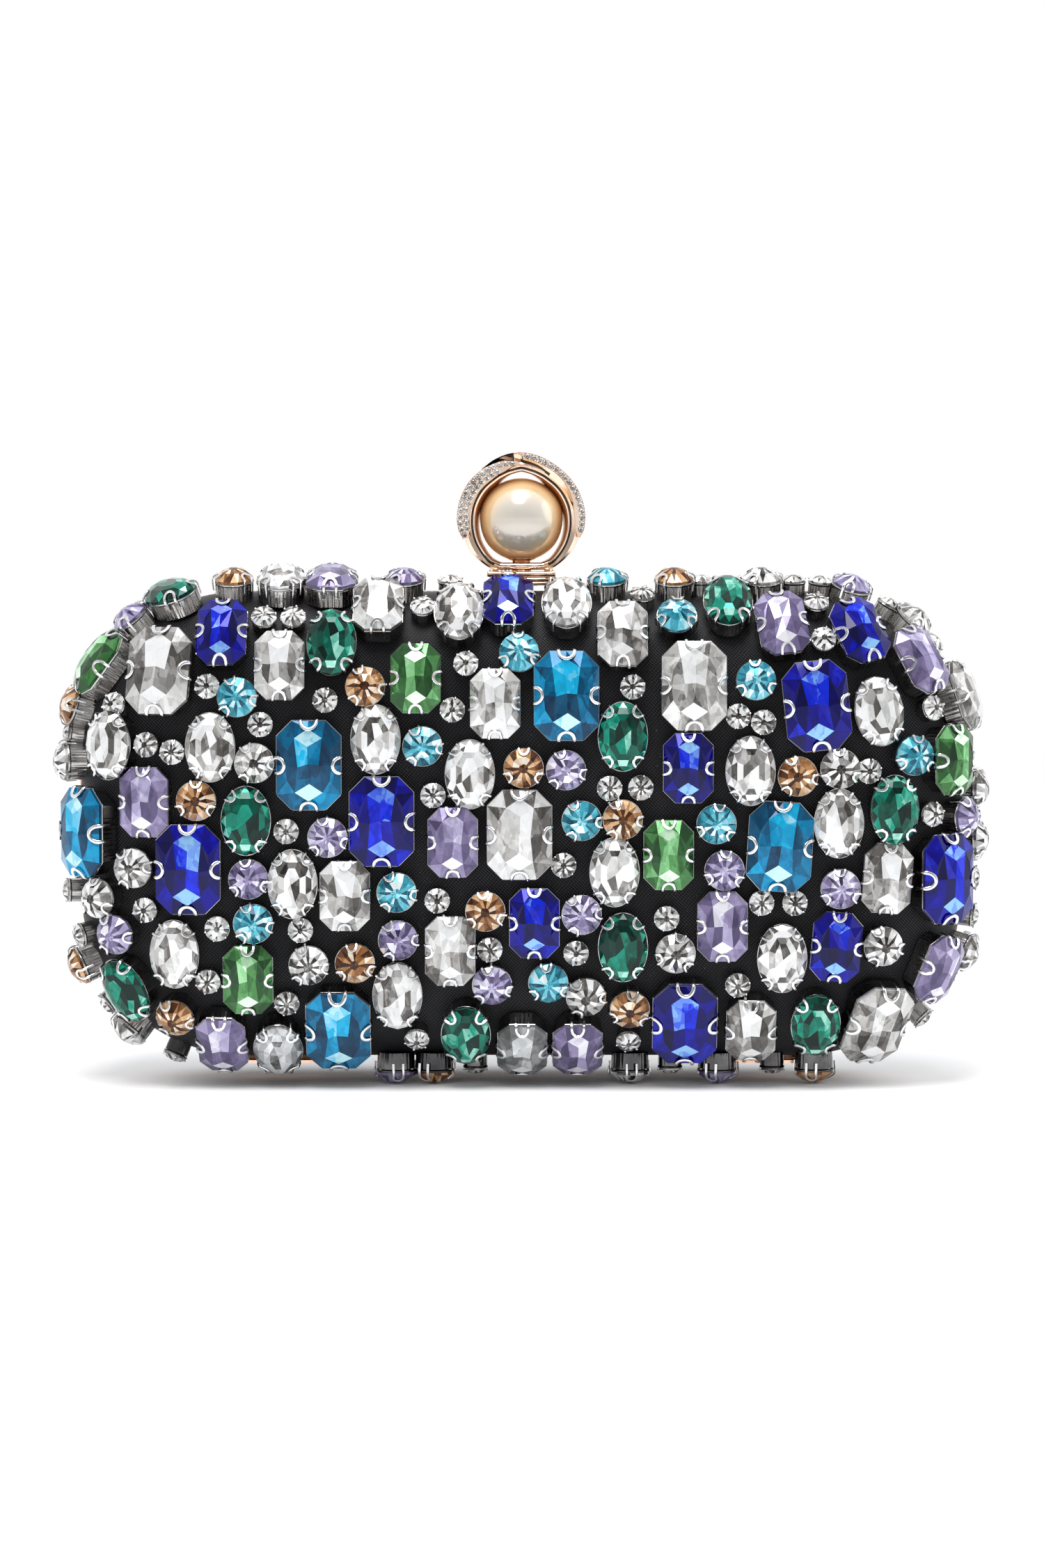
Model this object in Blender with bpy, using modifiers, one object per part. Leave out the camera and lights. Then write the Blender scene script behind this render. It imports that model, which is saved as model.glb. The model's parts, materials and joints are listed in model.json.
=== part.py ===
"""A box clutch: two dished halves covered in black satin that open on hinges at the bottom, crystals in metal
settings all over the front half, and a pearl in a metal ring on the sprung clasp at the top.

The case is modelled round its own centre: the two rims meet at Y = 0, the front half lies towards -Y and the
hinge along the bottom. An empty then sets it down with its lowest crystals on Z = 0."""

import math
from collections import namedtuple

import bmesh
import bpy
from mathutils import Matrix, Vector
from mathutils.bvhtree import BVHTree

MM = 0.001

# Clearances
GAP = 0.3 * MM
OVERRUN = 2.0 * MM

# Case: outline of the satin at the rim, and the depth of one half
HALF_WIDTH = 90.0 * MM
HALF_HEIGHT = 47.5 * MM
CORNER_RADIUS = 33.0 * MM
FLAT_CORNER_RADIUS = 1.0 * MM
HALF_DEPTH = 22.5 * MM
SHOULDER_POWER = 3.0
CORNER_STEPS = 5
WALL_DEPTH_SHARES = (0.35, 0.55, 0.72, 0.86, 0.96, 1.0)
SATIN = 0.8 * MM
SHELL = 1.2 * MM
LINING = 0.5 * MM

# Metal frame round each half: a flange outside and a lip that the shell's edge rests on
FRAME_PROUD = 0.8 * MM
FLANGE_DEPTH = 2.6 * MM
FLANGE_INSET = 0.8 * MM
LIP_DEPTH = 0.95 * MM
LIP_INSET = 4.0 * MM
FRAME_CHAMFER = 0.4 * MM

# Crystals and their settings
LARGE_WIDTH = 13.0 * MM
LARGE_LENGTH = 18.0 * MM
LARGE_CORNER = 3.1 * MM
MEDIUM_WIDTH = 10.0 * MM
MEDIUM_LENGTH = 14.0 * MM
MEDIUM_CORNER = 2.4 * MM
OVAL_WIDTH = 10.0 * MM
OVAL_LENGTH = 14.0 * MM
ROUND_DIAMETER = 8.0 * MM
SMALL_DIAMETER = 5.0 * MM
EMBED = 0.45 * MM
SETTING_HEIGHT = 3.4 * MM
CROWN_HEIGHT = 2.7 * MM
GIRDLE_HEIGHT = 0.5 * MM
SMALL_HEIGHT = 4.0 * MM
SETTING_FOOT_SHARE = 0.78
CRYSTAL_SHARE = 0.95
TABLE_SHARE = 0.6
SMALL_TABLE_SHARE = 0.7
EDGE_STONE_DEPTH = 9.5 * MM
SMALL_EDGE_STONE_DEPTH = 8.0 * MM
FOOT_DEPTH = 10.0 * MM
FOOT_EMBED = 0.1 * MM
SINGLE_OCTAGONS = 16

# Hinges along the bottom
HINGE_CENTRE_X = 49.0 * MM
KNUCKLE_LENGTH = 4.8 * MM
KNUCKLE_RADIUS = 1.4 * MM
PIN_RADIUS = 0.6 * MM
PIN_HEAD_RADIUS = 1.2 * MM
PIN_HEAD_LENGTH = 0.5 * MM
HINGE_DROP = 0.1 * MM
LEAF_THICKNESS = 0.6 * MM
LEAF_REACH = 4.8 * MM

# Clasp: heights are above the frames' outer face, depths are from the plane between the rims
AXLE_HEIGHT = 2.7 * MM
AXLE_DEPTH = 6.2 * MM
AXLE_RADIUS = 0.5 * MM
AXLE_HEAD_RADIUS = 0.9 * MM
AXLE_HEAD_LENGTH = 0.4 * MM
BARREL_RADIUS = 1.3 * MM
BARREL_HALF_WIDTH = 2.0 * MM
ARM_HALF_WIDTH = 1.7 * MM
WING_HALF_WIDTH = 3.2 * MM
WING_DEPTH = 4.8 * MM
EAR_INNER = 4.7 * MM
EAR_THICKNESS = 1.2 * MM
BRACKET_HALF_WIDTH = 6.4 * MM
BRACKET_THICKNESS = 0.8 * MM
BRACKET_NEAR = 0.45 * MM
BRACKET_FAR = 7.6 * MM
SLAB_HALF_WIDTH = 6.8 * MM
SLAB_HEIGHT = 2.2 * MM
SLAB_THICKNESS = 1.1 * MM
SLAB_FRONT = 4.6 * MM
SLAB_BACK = 3.0 * MM
HOOK_HALF_WIDTH = 3.0 * MM
HOOK_THICKNESS = 0.8 * MM
HOOK_HEIGHT = 0.6 * MM
CATCH_HALF_WIDTH = 3.4 * MM
CATCH_HEIGHT = 1.7 * MM
CATCH_THICKNESS = 1.8 * MM
HOOK_CLEARANCE = 0.4 * MM
PEARL_HEIGHT = 13.8 * MM
PEARL_RADIUS = 8.3 * MM
RING_INNER_RADIUS = 9.5 * MM
RING_OUTER_RADIUS = 11.3 * MM
RING_WALL = 1.55 * MM
RING_HALF_DEPTH = 4.2 * MM
RING_STEPS = 32
WRAP_STEPS = 10
WRAP_THIN = 0.5 * MM
WRAP_THICK = 2.1 * MM
WRAP_HALF_DEPTH = 4.6 * MM
WRAP_TOP_ANGLE = 87.0
WRAP_LOW_ANGLE = -25.0
POST_RADIUS = 0.7 * MM
POST_IN_PEARL = 8.0 * MM

# Clasp spring, wound round the axle
COIL_RADIUS = 1.1 * MM
WIRE_RADIUS = 0.15 * MM
COIL_TURNS = 2.25
COIL_STEPS = 12
SPRING_REACH = 1.6 * MM

# Crystals' places as shares of the half width and half height, and each one's lean to the right in degrees
FACE_STONE_SHARES = {
    ("large_octagon", "clear"): (
        (-0.795, 0.657, 0), (0.383, 0.607, 0), (-0.004, -0.010, 0), (0.784, -0.789, 5),
    ),
    ("large_octagon", "cobalt"): (
        (0.654, 0.528, -6), (-0.310, 0.046, 0), (-0.738, -0.157, 0), (0.365, -0.787, 0),
        (0.929, -0.206, 0),
    ),
    ("large_octagon", "turquoise"): (
        (-0.471, 0.283, 0), (0.100, 0.568, 0), (-0.954, -0.012, 0), (-0.409, -0.813, 0),
        (0.574, -0.060, 3.5),
    ),
    ("octagon", "clear"): (
        (-0.319, 0.900, 0), (-0.536, 0.685, 0), (-0.058, 0.537, 0), (0.225, 0.801, 0),
        (0.962, 0.541, 0), (-0.392, -0.268, 0), (-0.158, -0.498, 0), (0.807, -0.196, 4.5),
        (0.513, -0.813, 0),
    ),
    ("octagon", "cobalt"): (
        (-0.029, 0.917, 0), (-0.663, 0.805, 0), (0.744, 0.808, -15), (0.029, -0.383, 0),
        (0.370, 0.271, 0), (0.699, -0.481, 4.6),
    ),
    ("octagon", "peridot"): (
        (-0.234, 0.636, 0), (-0.920, 0.672, 22), (-0.608, -0.614, 0), (0.327, -0.095, 0),
        (0.940, 0.297, 0),
    ),
    ("octagon", "smoke"): (
        (0.002, -0.884, 0),
    ),
    ("octagon", "violet"): (
        (0.579, 0.838, -9), (0.871, 0.688, -14), (-0.829, 0.126, 0), (-0.667, -0.865, 0),
        (-0.152, -0.042, 0), (0.126, -0.884, 0), (0.447, -0.397, 0), (0.911, -0.572, 13),
    ),
    ("oval", "clear"): (
        (-0.139, 0.880, 0), (0.101, 0.908, 0), (-0.901, 0.359, 0), (-0.689, 0.358, 0),
        (-0.323, 0.391, 0), (0.787, 0.501, -8), (-0.508, -0.218, 0), (-0.767, -0.509, 0),
        (-0.114, 0.245, 0), (0.207, -0.168, 0), (-0.276, -0.677, 0), (0.508, 0.259, 0),
        (0.704, 0.038, 0), (0.580, -0.528, 0),
    ),
    ("oval", "emerald"): (
        (0.461, 0.915, 0), (-0.421, 0.771, 0), (0.225, 0.403, 0), (-0.611, 0.049, 0),
        (-0.867, -0.653, -17), (0.226, -0.483, 0), (-0.124, -0.831, 0), (0.822, 0.094, 0),
        (0.656, -0.792, 0),
    ),
    ("oval", "smoke"): (
        (-0.545, -0.886, 0),
    ),
    ("round", "amber"): (
        (-0.346, 0.604, 0), (-0.720, 0.133, 0), (-0.370, -0.548, 0), (-0.765, -0.762, 0),
        (0.005, 0.271, 0), (0.225, 0.054, 0), (-0.080, -0.334, 0), (0.242, -0.731, 0),
        (0.613, 0.236, 0),
    ),
    ("round", "aqua"): (
        (0.346, 0.864, 0), (-0.630, 0.562, 0), (-0.005, 0.734, 0), (-0.219, 0.362, 0),
        (0.520, 0.628, 0), (-0.596, -0.386, 0), (0.134, 0.049, 0), (-0.277, -0.254, 0),
        (0.060, -0.627, 0), (0.862, 0.320, 0), (0.433, 0.035, 0),
    ),
    ("round", "clear"): (
        (-0.592, 0.292, 0), (-0.853, -0.154, 0), (-0.924, -0.288, 0), (-0.473, -0.556, 0),
        (0.144, -0.683, 0), (0.343, -0.508, 0), (0.706, 0.268, 0), (0.799, -0.477, 0),
    ),
    ("round", "violet"): (
        (-0.430, -0.022, 0), (-0.606, -0.198, 0), (-0.890, -0.431, 0), (0.099, 0.262, 0),
        (0.134, -0.348, 0), (-0.274, -0.454, 0), (-0.065, -0.636, 0), (0.451, -0.161, 0),
        (0.708, -0.239, 0), (0.965, 0.051, 0),
    ),
    ("small_round", "clear"): (
        (-0.220, 0.904, 0), (0.657, 0.918, 0), (-0.573, 0.866, 0), (-0.508, 0.866, 0),
        (-0.695, 0.605, 0), (-0.435, 0.551, 0), (-0.579, 0.452, 0), (-0.827, 0.365, 0),
        (-0.772, 0.336, 0), (-0.123, 0.695, 0), (0.247, 0.603, 0), (-0.153, 0.512, 0),
        (0.481, 0.486, 0), (0.537, 0.461, 0), (0.902, 0.506, 0), (0.670, 0.787, 0), (-0.893, 0.520, 0),
        (-0.967, -0.448, 0), (-0.522, 0.003, 0), (-0.831, -0.331, 0), (-0.676, -0.408, 0),
        (-0.491, -0.414, 0), (-0.696, -0.625, 0), (-0.523, -0.713, 0), (-0.196, 0.155, 0),
        (0.196, 0.185, 0), (0.265, 0.187, 0), (0.094, -0.140, 0), (-0.187, -0.290, 0),
        (-0.070, -0.495, 0), (0.122, -0.509, 0), (0.323, -0.365, 0), (-0.234, -0.857, 0),
        (0.240, -0.865, 0), (0.769, 0.257, 0), (0.903, 0.070, 0), (0.534, -0.300, 0),
        (0.608, -0.300, 0), (0.482, -0.640, 0), (0.271, 0.945, 0),
    ),
}

EDGE_STONE_SHARES = {
    ("octagon", "violet"): (
        (-0.427, 0.983, 0),
    ),
    ("oval", "clear"): (
        (-0.540, 0.983, 0),
    ),
    ("oval", "emerald"): (
        (-0.771, 0.919, 90),
    ),
    ("round", "amber"): (
        (-0.645, 0.983, 0), (0.343, 0.983, 0), (-0.970, 0.496, 0), (-0.962, -0.571, 0),
    ),
    ("round", "aqua"): (
        (0.192, 0.983, 0),
    ),
    ("round", "clear"): (
        (0.541, 0.983, 0), (0.859, 0.831, 0), (-0.991, 0.278, 0), (-0.864, -0.824, 0),
        (0.991, 0.156, 0), (0.991, -0.053, 0), (0.972, -0.524, 0),
    ),
    ("round", "violet"): (
        (-0.263, 0.983, 0), (0.732, 0.956, 0), (-0.853, 0.828, 0),
    ),
    ("small_round", "clear"): (
        (-0.160, 0.989, 0), (0.406, 0.989, 0), (0.613, 0.989, 0), (0.671, 0.986, 0), (0.813, 0.899, 0),
        (0.907, 0.751, 0), (-0.982, 0.390, 0), (-0.994, -0.278, 0), (-0.916, -0.731, 0),
        (-0.771, -0.922, 0), (0.994, -0.224, 0), (0.992, -0.379, 0), (0.891, -0.790, 0),
    ),
}

FOOT_STONE_SHARES = {
    ("round", "amber"): (
        -0.197, 0.664,
    ),
    ("round", "clear"): (
        0.246,
    ),
    ("round", "violet"): (
        -0.284, 0.443,
    ),
    ("small_round", "clear"): (
        -0.104, 0.337, 0.568,
    ),
}

Cut = namedtuple("Cut", "width length corner sides first_angle")
CUTS = {
    "large_octagon": Cut(LARGE_WIDTH, LARGE_LENGTH, LARGE_CORNER, 8, 0.0),
    "octagon": Cut(MEDIUM_WIDTH, MEDIUM_LENGTH, MEDIUM_CORNER, 8, 0.0),
    "oval": Cut(OVAL_WIDTH, OVAL_LENGTH, 0.0, 8, 22.5),
    "round": Cut(ROUND_DIAMETER, ROUND_DIAMETER, 0.0, 8, 22.5),
    "small_round": Cut(SMALL_DIAMETER, SMALL_DIAMETER, 0.0, 6, 0.0),
}
COLOURS = {
    "clear": (0.86, 0.87, 0.88),
    "smoke": (0.45, 0.46, 0.48),
    "cobalt": (0.03, 0.03, 0.62),
    "turquoise": (0.02, 0.35, 0.70),
    "emerald": (0.01, 0.32, 0.22),
    "peridot": (0.20, 0.55, 0.16),
    "violet": (0.42, 0.32, 0.70),
    "aqua": (0.15, 0.60, 0.72),
    "amber": (0.48, 0.24, 0.08),
}
ROSE_GOLD = ((0.90, 0.66, 0.50), 0.18, 1.0)
STEEL = ((0.62, 0.61, 0.60), 0.25, 1.0)
BLACK_SATIN = ((0.012, 0.013, 0.018), 0.45, 0.0)
SHELL_BOARD = ((0.05, 0.05, 0.055), 0.6, 0.0)
LINING_SUEDE = ((0.02, 0.02, 0.024), 0.9, 0.0)
PEARL_CREAM = ((0.88, 0.74, 0.55), 0.22, 0.0)

SHOULDER = CORNER_RADIUS - FLAT_CORNER_RADIUS
RIM_TOP = HALF_HEIGHT + FRAME_PROUD
HINGE_Z = -(RIM_TOP + HINGE_DROP)
AXLE_Z = RIM_TOP + AXLE_HEIGHT
PEARL_Z = RIM_TOP + PEARL_HEIGHT
CRYSTAL_HEIGHT = SETTING_HEIGHT + CROWN_HEIGHT
FRONT, BACK = -1.0, 1.0


def clear_scene():
    for old in list(bpy.data.objects):
        bpy.data.objects.remove(old, do_unlink=True)


def new_collection(name):
    collection = bpy.data.collections.new(name)
    bpy.context.scene.collection.children.link(collection)
    return collection


clear_scene()
PARTS = new_collection("clutch")
CUTTERS = new_collection("cutters")


def make_material(name, colour, roughness, metallic):
    material = bpy.data.materials.get(name)
    if material is None:
        material = bpy.data.materials.new(name)
        material.use_nodes = True
        shader = material.node_tree.nodes["Principled BSDF"]
        shader.inputs["Base Color"].default_value = (*colour, 1.0)
        shader.inputs["Roughness"].default_value = roughness
        shader.inputs["Metallic"].default_value = metallic
    return material


def add_object(name, shape, looks, collection=None):
    """A new object from a bmesh, in the case's own coordinates."""
    bmesh.ops.recalc_face_normals(shape, faces=shape.faces)
    return link_mesh(name, shape, looks, collection)


def link_mesh(name, shape, looks, collection=None):
    mesh = bpy.data.meshes.new(name)
    shape.to_mesh(mesh)
    shape.free()
    made = bpy.data.objects.new(name, mesh)
    mesh.materials.append(make_material(looks[0], *looks[1]))
    (collection or PARTS).objects.link(made)
    return made


def smooth(made, angle=40.0):
    made.data.shade_smooth()
    made.data.set_sharp_from_angle(angle=math.radians(angle))


def hide_cutter(made):
    made.hide_render = True
    made.display_type = "WIRE"


def combine(base, other, operation, use_self=False):
    """Join other to base, or cut it out of base, and keep other as a hidden cutter."""
    modifier = base.modifiers.new(other.name, "BOOLEAN")
    modifier.operation = operation
    modifier.solver = "EXACT"
    modifier.use_self = use_self
    modifier.object = other
    hide_cutter(other)


def box(name, low, high, looks, collection=None):
    """A box between two corners."""
    shape = bmesh.new()
    size = Vector(high) - Vector(low)
    centre = (Vector(high) + Vector(low)) / 2
    matrix = Matrix.Translation(centre) @ Matrix.Diagonal((*size, 1.0))
    bmesh.ops.create_cube(shape, size=1.0, matrix=matrix)
    return add_object(name, shape, looks, collection)


def rod(name, radius, start, end, looks, sides=16, collection=None):
    """A round rod between two points."""
    start, end = Vector(start), Vector(end)
    shape = bmesh.new()
    turn = (end - start).to_track_quat("Z", "Y").to_matrix().to_4x4()
    bmesh.ops.create_cone(
        shape,
        cap_ends=True,
        segments=sides,
        radius1=radius,
        radius2=radius,
        depth=(end - start).length,
        matrix=Matrix.Translation((start + end) / 2) @ turn,
    )
    return add_object(name, shape, looks, collection)


def turned(name, profile, origin, looks, steps=16):
    """A piece turned about a line along X through origin, from (radius, x) points, highest x first."""
    mesh = bpy.data.meshes.new(name)
    points = [(radius, 0.0, x) for radius, x in profile]
    mesh.from_pydata(points, [(i, i + 1) for i in range(len(points) - 1)], [])
    mesh.materials.append(make_material(looks[0], *looks[1]))
    made = bpy.data.objects.new(name, mesh)
    made.location = origin
    made.rotation_euler = (0.0, math.radians(90.0), 0.0)
    PARTS.objects.link(made)
    screw = made.modifiers.new("turn", "SCREW")
    screw.steps = screw.render_steps = steps
    screw.use_merge_vertices = True
    screw.merge_threshold = 0.00001
    screw.use_smooth_shade = True
    return made


# The satin case's surface


def shoulder_share(depth_share):
    """How far down the shoulder's curve, from 1 at the rim to 0 on the flat, the wall is at this depth."""
    return (1.0 - depth_share**SHOULDER_POWER) ** (1.0 / SHOULDER_POWER)


def wall_inset(depth_share, layer):
    """Inset from the rim outline of the skin that lies layer under the satin's face."""
    return layer + (SHOULDER - layer) * (1.0 - shoulder_share(depth_share))


def outline(inset, y):
    """A ring of points round the rim's rounded rectangle, drawn in by inset."""
    radius = CORNER_RADIUS - inset
    middle_x, middle_z = HALF_WIDTH - CORNER_RADIUS, HALF_HEIGHT - CORNER_RADIUS
    points = []
    for corner, (side_x, side_z) in enumerate(((1, 1), (-1, 1), (-1, -1), (1, -1))):
        for step in range(CORNER_STEPS + 1):
            angle = math.radians(90.0 * (corner + step / CORNER_STEPS))
            x = side_x * middle_x + radius * math.cos(angle)
            z = side_z * middle_z + radius * math.sin(angle)
            points.append(Vector((x, y, z)))
    return points


def bridge(shape, rings, closed=False):
    """Faces between neighbouring rings of vertices with equal counts."""
    pairs = list(zip(rings, rings[1:]))
    if closed:
        pairs.append((rings[-1], rings[0]))
    for low, high in pairs:
        for i in range(len(low)):
            j = (i + 1) % len(low)
            shape.faces.new((low[i], low[j], high[j], high[i]))


def dish_shape(side, layer, rim_depth):
    """The open surface of one half, from its rim to the flat in its middle, facing out."""
    depth = HALF_DEPTH - layer
    shape = bmesh.new()
    rings = []
    for share in (rim_depth / depth, *WALL_DEPTH_SHARES):
        points = outline(wall_inset(share, layer), side * share * depth)
        rings.append([shape.verts.new(point) for point in points])
    bridge(shape, rings)
    shape.faces.new(rings[-1])
    bmesh.ops.recalc_face_normals(shape, faces=shape.faces)
    shape.faces.ensure_lookup_table()
    if shape.faces[-1].normal.y * side < 0.0:
        bmesh.ops.reverse_faces(shape, faces=shape.faces)
    return shape


def dish(name, side, layer, rim_depth, thickness, looks):
    made = link_mesh(name, dish_shape(side, layer, rim_depth), looks)
    smooth(made, 30.0)
    solidify = made.modifiers.new("thickness", "SOLIDIFY")
    solidify.thickness = thickness
    solidify.offset = -1.0
    solidify.use_even_offset = True
    solidify.use_quality_normals = True
    return made


def frame(name, side):
    """The L-shaped metal band round one half, with its outer edges chamfered."""
    profile = (
        (-FRAME_PROUD + FRAME_CHAMFER, GAP / 2),
        (-FRAME_PROUD, GAP / 2 + FRAME_CHAMFER),
        (-FRAME_PROUD, FLANGE_DEPTH - FRAME_CHAMFER),
        (-FRAME_PROUD + FRAME_CHAMFER, FLANGE_DEPTH),
        (FLANGE_INSET, FLANGE_DEPTH),
        (FLANGE_INSET, LIP_DEPTH),
        (LIP_INSET, LIP_DEPTH),
        (LIP_INSET, GAP / 2),
    )
    shape = bmesh.new()
    rings = []
    for inset, y in profile:
        rings.append([shape.verts.new(point) for point in outline(inset, side * y)])
    bridge(shape, rings, closed=True)
    made = add_object(name, shape, ("rose_gold", ROSE_GOLD))
    smooth(made, 30.0)
    for x in (-HINGE_CENTRE_X, HINGE_CENTRE_X):
        reach = HINGE_HALF_LENGTH + PIN_HEAD_LENGTH + 2.0 * GAP
        notch = rod(
            f"{name}_notch_{'left' if x < 0.0 else 'right'}",
            KNUCKLE_RADIUS + GAP,
            (x - reach, 0.0, HINGE_Z),
            (x + reach, 0.0, HINGE_Z),
            ("rose_gold", ROSE_GOLD),
            collection=CUTTERS,
        )
        combine(made, notch, "DIFFERENCE")
    return made


# Crystals


def outline_direction(x, z):
    """The point of the corners' square nearest to x, z, and the way out from it."""
    limit_x, limit_z = HALF_WIDTH - CORNER_RADIUS, HALF_HEIGHT - CORNER_RADIUS
    near = Vector((max(-limit_x, min(limit_x, x)), max(-limit_z, min(limit_z, z))))
    out = Vector((x, z)) - near
    reach = out.length
    return near, (out / reach if reach > 0.0 else out), reach


def front_seat(x, z, depth=None):
    """A point on the front satin and the way it faces, above x, z or, given a depth, out towards them."""
    near, out, reach = outline_direction(x, z)
    share = max(0.0, (SHOULDER - CORNER_RADIUS + reach) / SHOULDER)
    if depth is None and share > shoulder_share(EDGE_STONE_DEPTH / HALF_DEPTH):
        depth = EDGE_STONE_DEPTH
    if depth is None:
        depth_share = (1.0 - share**SHOULDER_POWER) ** (1.0 / SHOULDER_POWER)
    else:
        depth_share = depth / HALF_DEPTH
        share = shoulder_share(depth_share)
        reach = CORNER_RADIUS - wall_inset(depth_share, 0.0)
    if share == 0.0:
        return Vector((x, -HALF_DEPTH, z)), Vector((0.0, -1.0, 0.0))
    point = Vector((near.x + out.x * reach, -depth_share * HALF_DEPTH, near.y + out.y * reach))
    outward = share ** (SHOULDER_POWER - 1.0) / SHOULDER
    forward = depth_share ** (SHOULDER_POWER - 1.0) / HALF_DEPTH
    return point, Vector((out.x * outward, -forward, out.y * outward)).normalized()


def settle(surface, point, facing):
    """The seat's frame, its origin moved along facing onto the satin's flat facets."""
    hit = surface.ray_cast(point + facing * CORNER_RADIUS / 4.0, -facing)[0]
    up = Vector((0.0, 0.0, 1.0)) - facing * facing.z
    if up.length < 0.1:
        up = Vector((0.0, -1.0, 0.0)) - facing * -facing.y
    up.normalize()
    right = up.cross(facing)
    return Matrix.Translation(hit or point) @ Matrix((right, up, facing)).transposed().to_4x4()


def lean(angle):
    return Matrix.Rotation(-math.radians(angle), 4, "Z")


def cut_points(cut):
    """The girdle outline of a crystal: a rectangle with cut corners, or an oval of straight sides."""
    half_width, half_length = cut.width / 2.0, cut.length / 2.0
    if cut.corner:
        short, long = half_width - cut.corner, half_length - cut.corner
        quarter = ((half_width, long), (short, half_length))
        points = list(quarter)
        points += [(-x, y) for x, y in reversed(quarter)]
        points += [(-x, -y) for x, y in quarter]
        points += [(x, -y) for x, y in reversed(quarter)]
        return points
    points = []
    for side in range(cut.sides):
        angle = math.radians(cut.first_angle + 360.0 * side / cut.sides)
        points.append((half_width * math.cos(angle), half_length * math.sin(angle)))
    return points


def add_gem(shape, matrix, cut, levels):
    """A closed faceted solid on matrix, from (height, share of the outline) levels."""
    points = cut_points(cut)
    rings = []
    for height, share in levels:
        ring = [matrix @ Vector((x * share, y * share, height)) for x, y in points]
        rings.append([shape.verts.new(point) for point in ring])
    bridge(shape, rings)
    shape.faces.new(rings[0])
    shape.faces.new(rings[-1])


def setting_levels(embed):
    return (-embed, SETTING_FOOT_SHARE), (SETTING_HEIGHT, 1.0)


def set_crystal_levels(embed):
    return *setting_levels(embed), (CRYSTAL_HEIGHT, TABLE_SHARE)


def small_levels(embed):
    return (-embed, 1.0), (SMALL_HEIGHT, SMALL_TABLE_SHARE)


def single_levels():
    """The crystal alone: it lies on its setting's rim, one gap above it."""
    seat = SETTING_HEIGHT + GAP
    return (seat, CRYSTAL_SHARE), (seat + GIRDLE_HEIGHT, CRYSTAL_SHARE), (CRYSTAL_HEIGHT, TABLE_SHARE)


def stone_seats():
    """Every crystal's kind, colour, frame on the satin, and how deep its setting is let in."""
    shape = dish_shape(FRONT, 0.0, FLANGE_DEPTH + GAP)
    surface = BVHTree.FromBMesh(shape)
    shape.free()
    seats = []
    for (kind, colour), places in FACE_STONE_SHARES.items():
        for x, z, angle in places:
            point, facing = front_seat(x * HALF_WIDTH, z * HALF_HEIGHT)
            seats.append((kind, colour, settle(surface, point, facing) @ lean(angle), EMBED))
    for (kind, colour), places in EDGE_STONE_SHARES.items():
        depth = SMALL_EDGE_STONE_DEPTH if kind == "small_round" else EDGE_STONE_DEPTH
        for x, z, angle in places:
            point, facing = front_seat(x * HALF_WIDTH, z * HALF_HEIGHT, depth)
            seats.append((kind, colour, settle(surface, point, facing) @ lean(angle), EMBED))
    for (kind, colour), places in FOOT_STONE_SHARES.items():
        for x in places:
            point, _ = front_seat(x * HALF_WIDTH, -HALF_HEIGHT, FOOT_DEPTH)
            frame_down = settle(surface, point, Vector((0.0, 0.0, -1.0)))
            seats.append((kind + " foot", colour, frame_down, FOOT_EMBED))
    return seats


def crystal_material(colour):
    return f"crystal_{colour}", (COLOURS[colour], 0.05, 0.0)


def single_name(kind, counts):
    """The name of a crystal that is a piece of its own, or None for one joined to its setting."""
    names = {"large_octagon": "crystal_large", "octagon": "crystal_medium", "round foot": "crystal_foot"}
    if kind not in names or (kind == "octagon" and counts.get(kind, 0) >= SINGLE_OCTAGONS):
        return None
    counts[kind] = counts.get(kind, 0) + 1
    return f"{names[kind]}_{counts[kind]:02d}"


def add_crystals(seats):
    """The settings and the smaller crystals as one cutter-side mesh, and the larger crystals as pieces."""
    settings = bmesh.new()
    singles = []
    counts = {}
    for kind, colour, matrix, embed in seats:
        cut = CUTS[kind.split()[0]]
        name = single_name(kind, counts)
        if name:
            add_gem(settings, matrix, cut, setting_levels(embed))
            shape = bmesh.new()
            add_gem(shape, matrix, cut, single_levels())
            singles.append(add_object(name, shape, crystal_material(colour)))
        elif kind.startswith("small_round"):
            add_gem(settings, matrix, cut, small_levels(embed))
        else:
            add_gem(settings, matrix, cut, set_crystal_levels(embed))
    return add_object("settings", settings, ("steel", STEEL), CUTTERS), singles


def lowest_and_foremost(seats):
    """The lowest height and the foremost depth that a crystal's table reaches."""
    heights, depths = [], []
    for kind, _, matrix, _ in seats:
        cut = CUTS[kind.split()[0]]
        small = kind.startswith("small_round")
        height = SMALL_HEIGHT if small else CRYSTAL_HEIGHT
        share = SMALL_TABLE_SHARE if small else TABLE_SHARE
        for x, y in cut_points(cut):
            point = matrix @ Vector((x * share, y * share, height))
            heights.append(point.z)
            depths.append(point.y)
    return min(heights), min(depths)


# Hinges

HINGE_HALF_LENGTH = 1.5 * KNUCKLE_LENGTH + GAP


def knuckle_spans(side):
    """Where this half's knuckles lie along the hinge: the front's in the middle, the back's outside it."""
    half = KNUCKLE_LENGTH / 2.0
    if side == FRONT:
        return ((-half, half),)
    return (-HINGE_HALF_LENGTH, -half - GAP), (half + GAP, HINGE_HALF_LENGTH)


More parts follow.
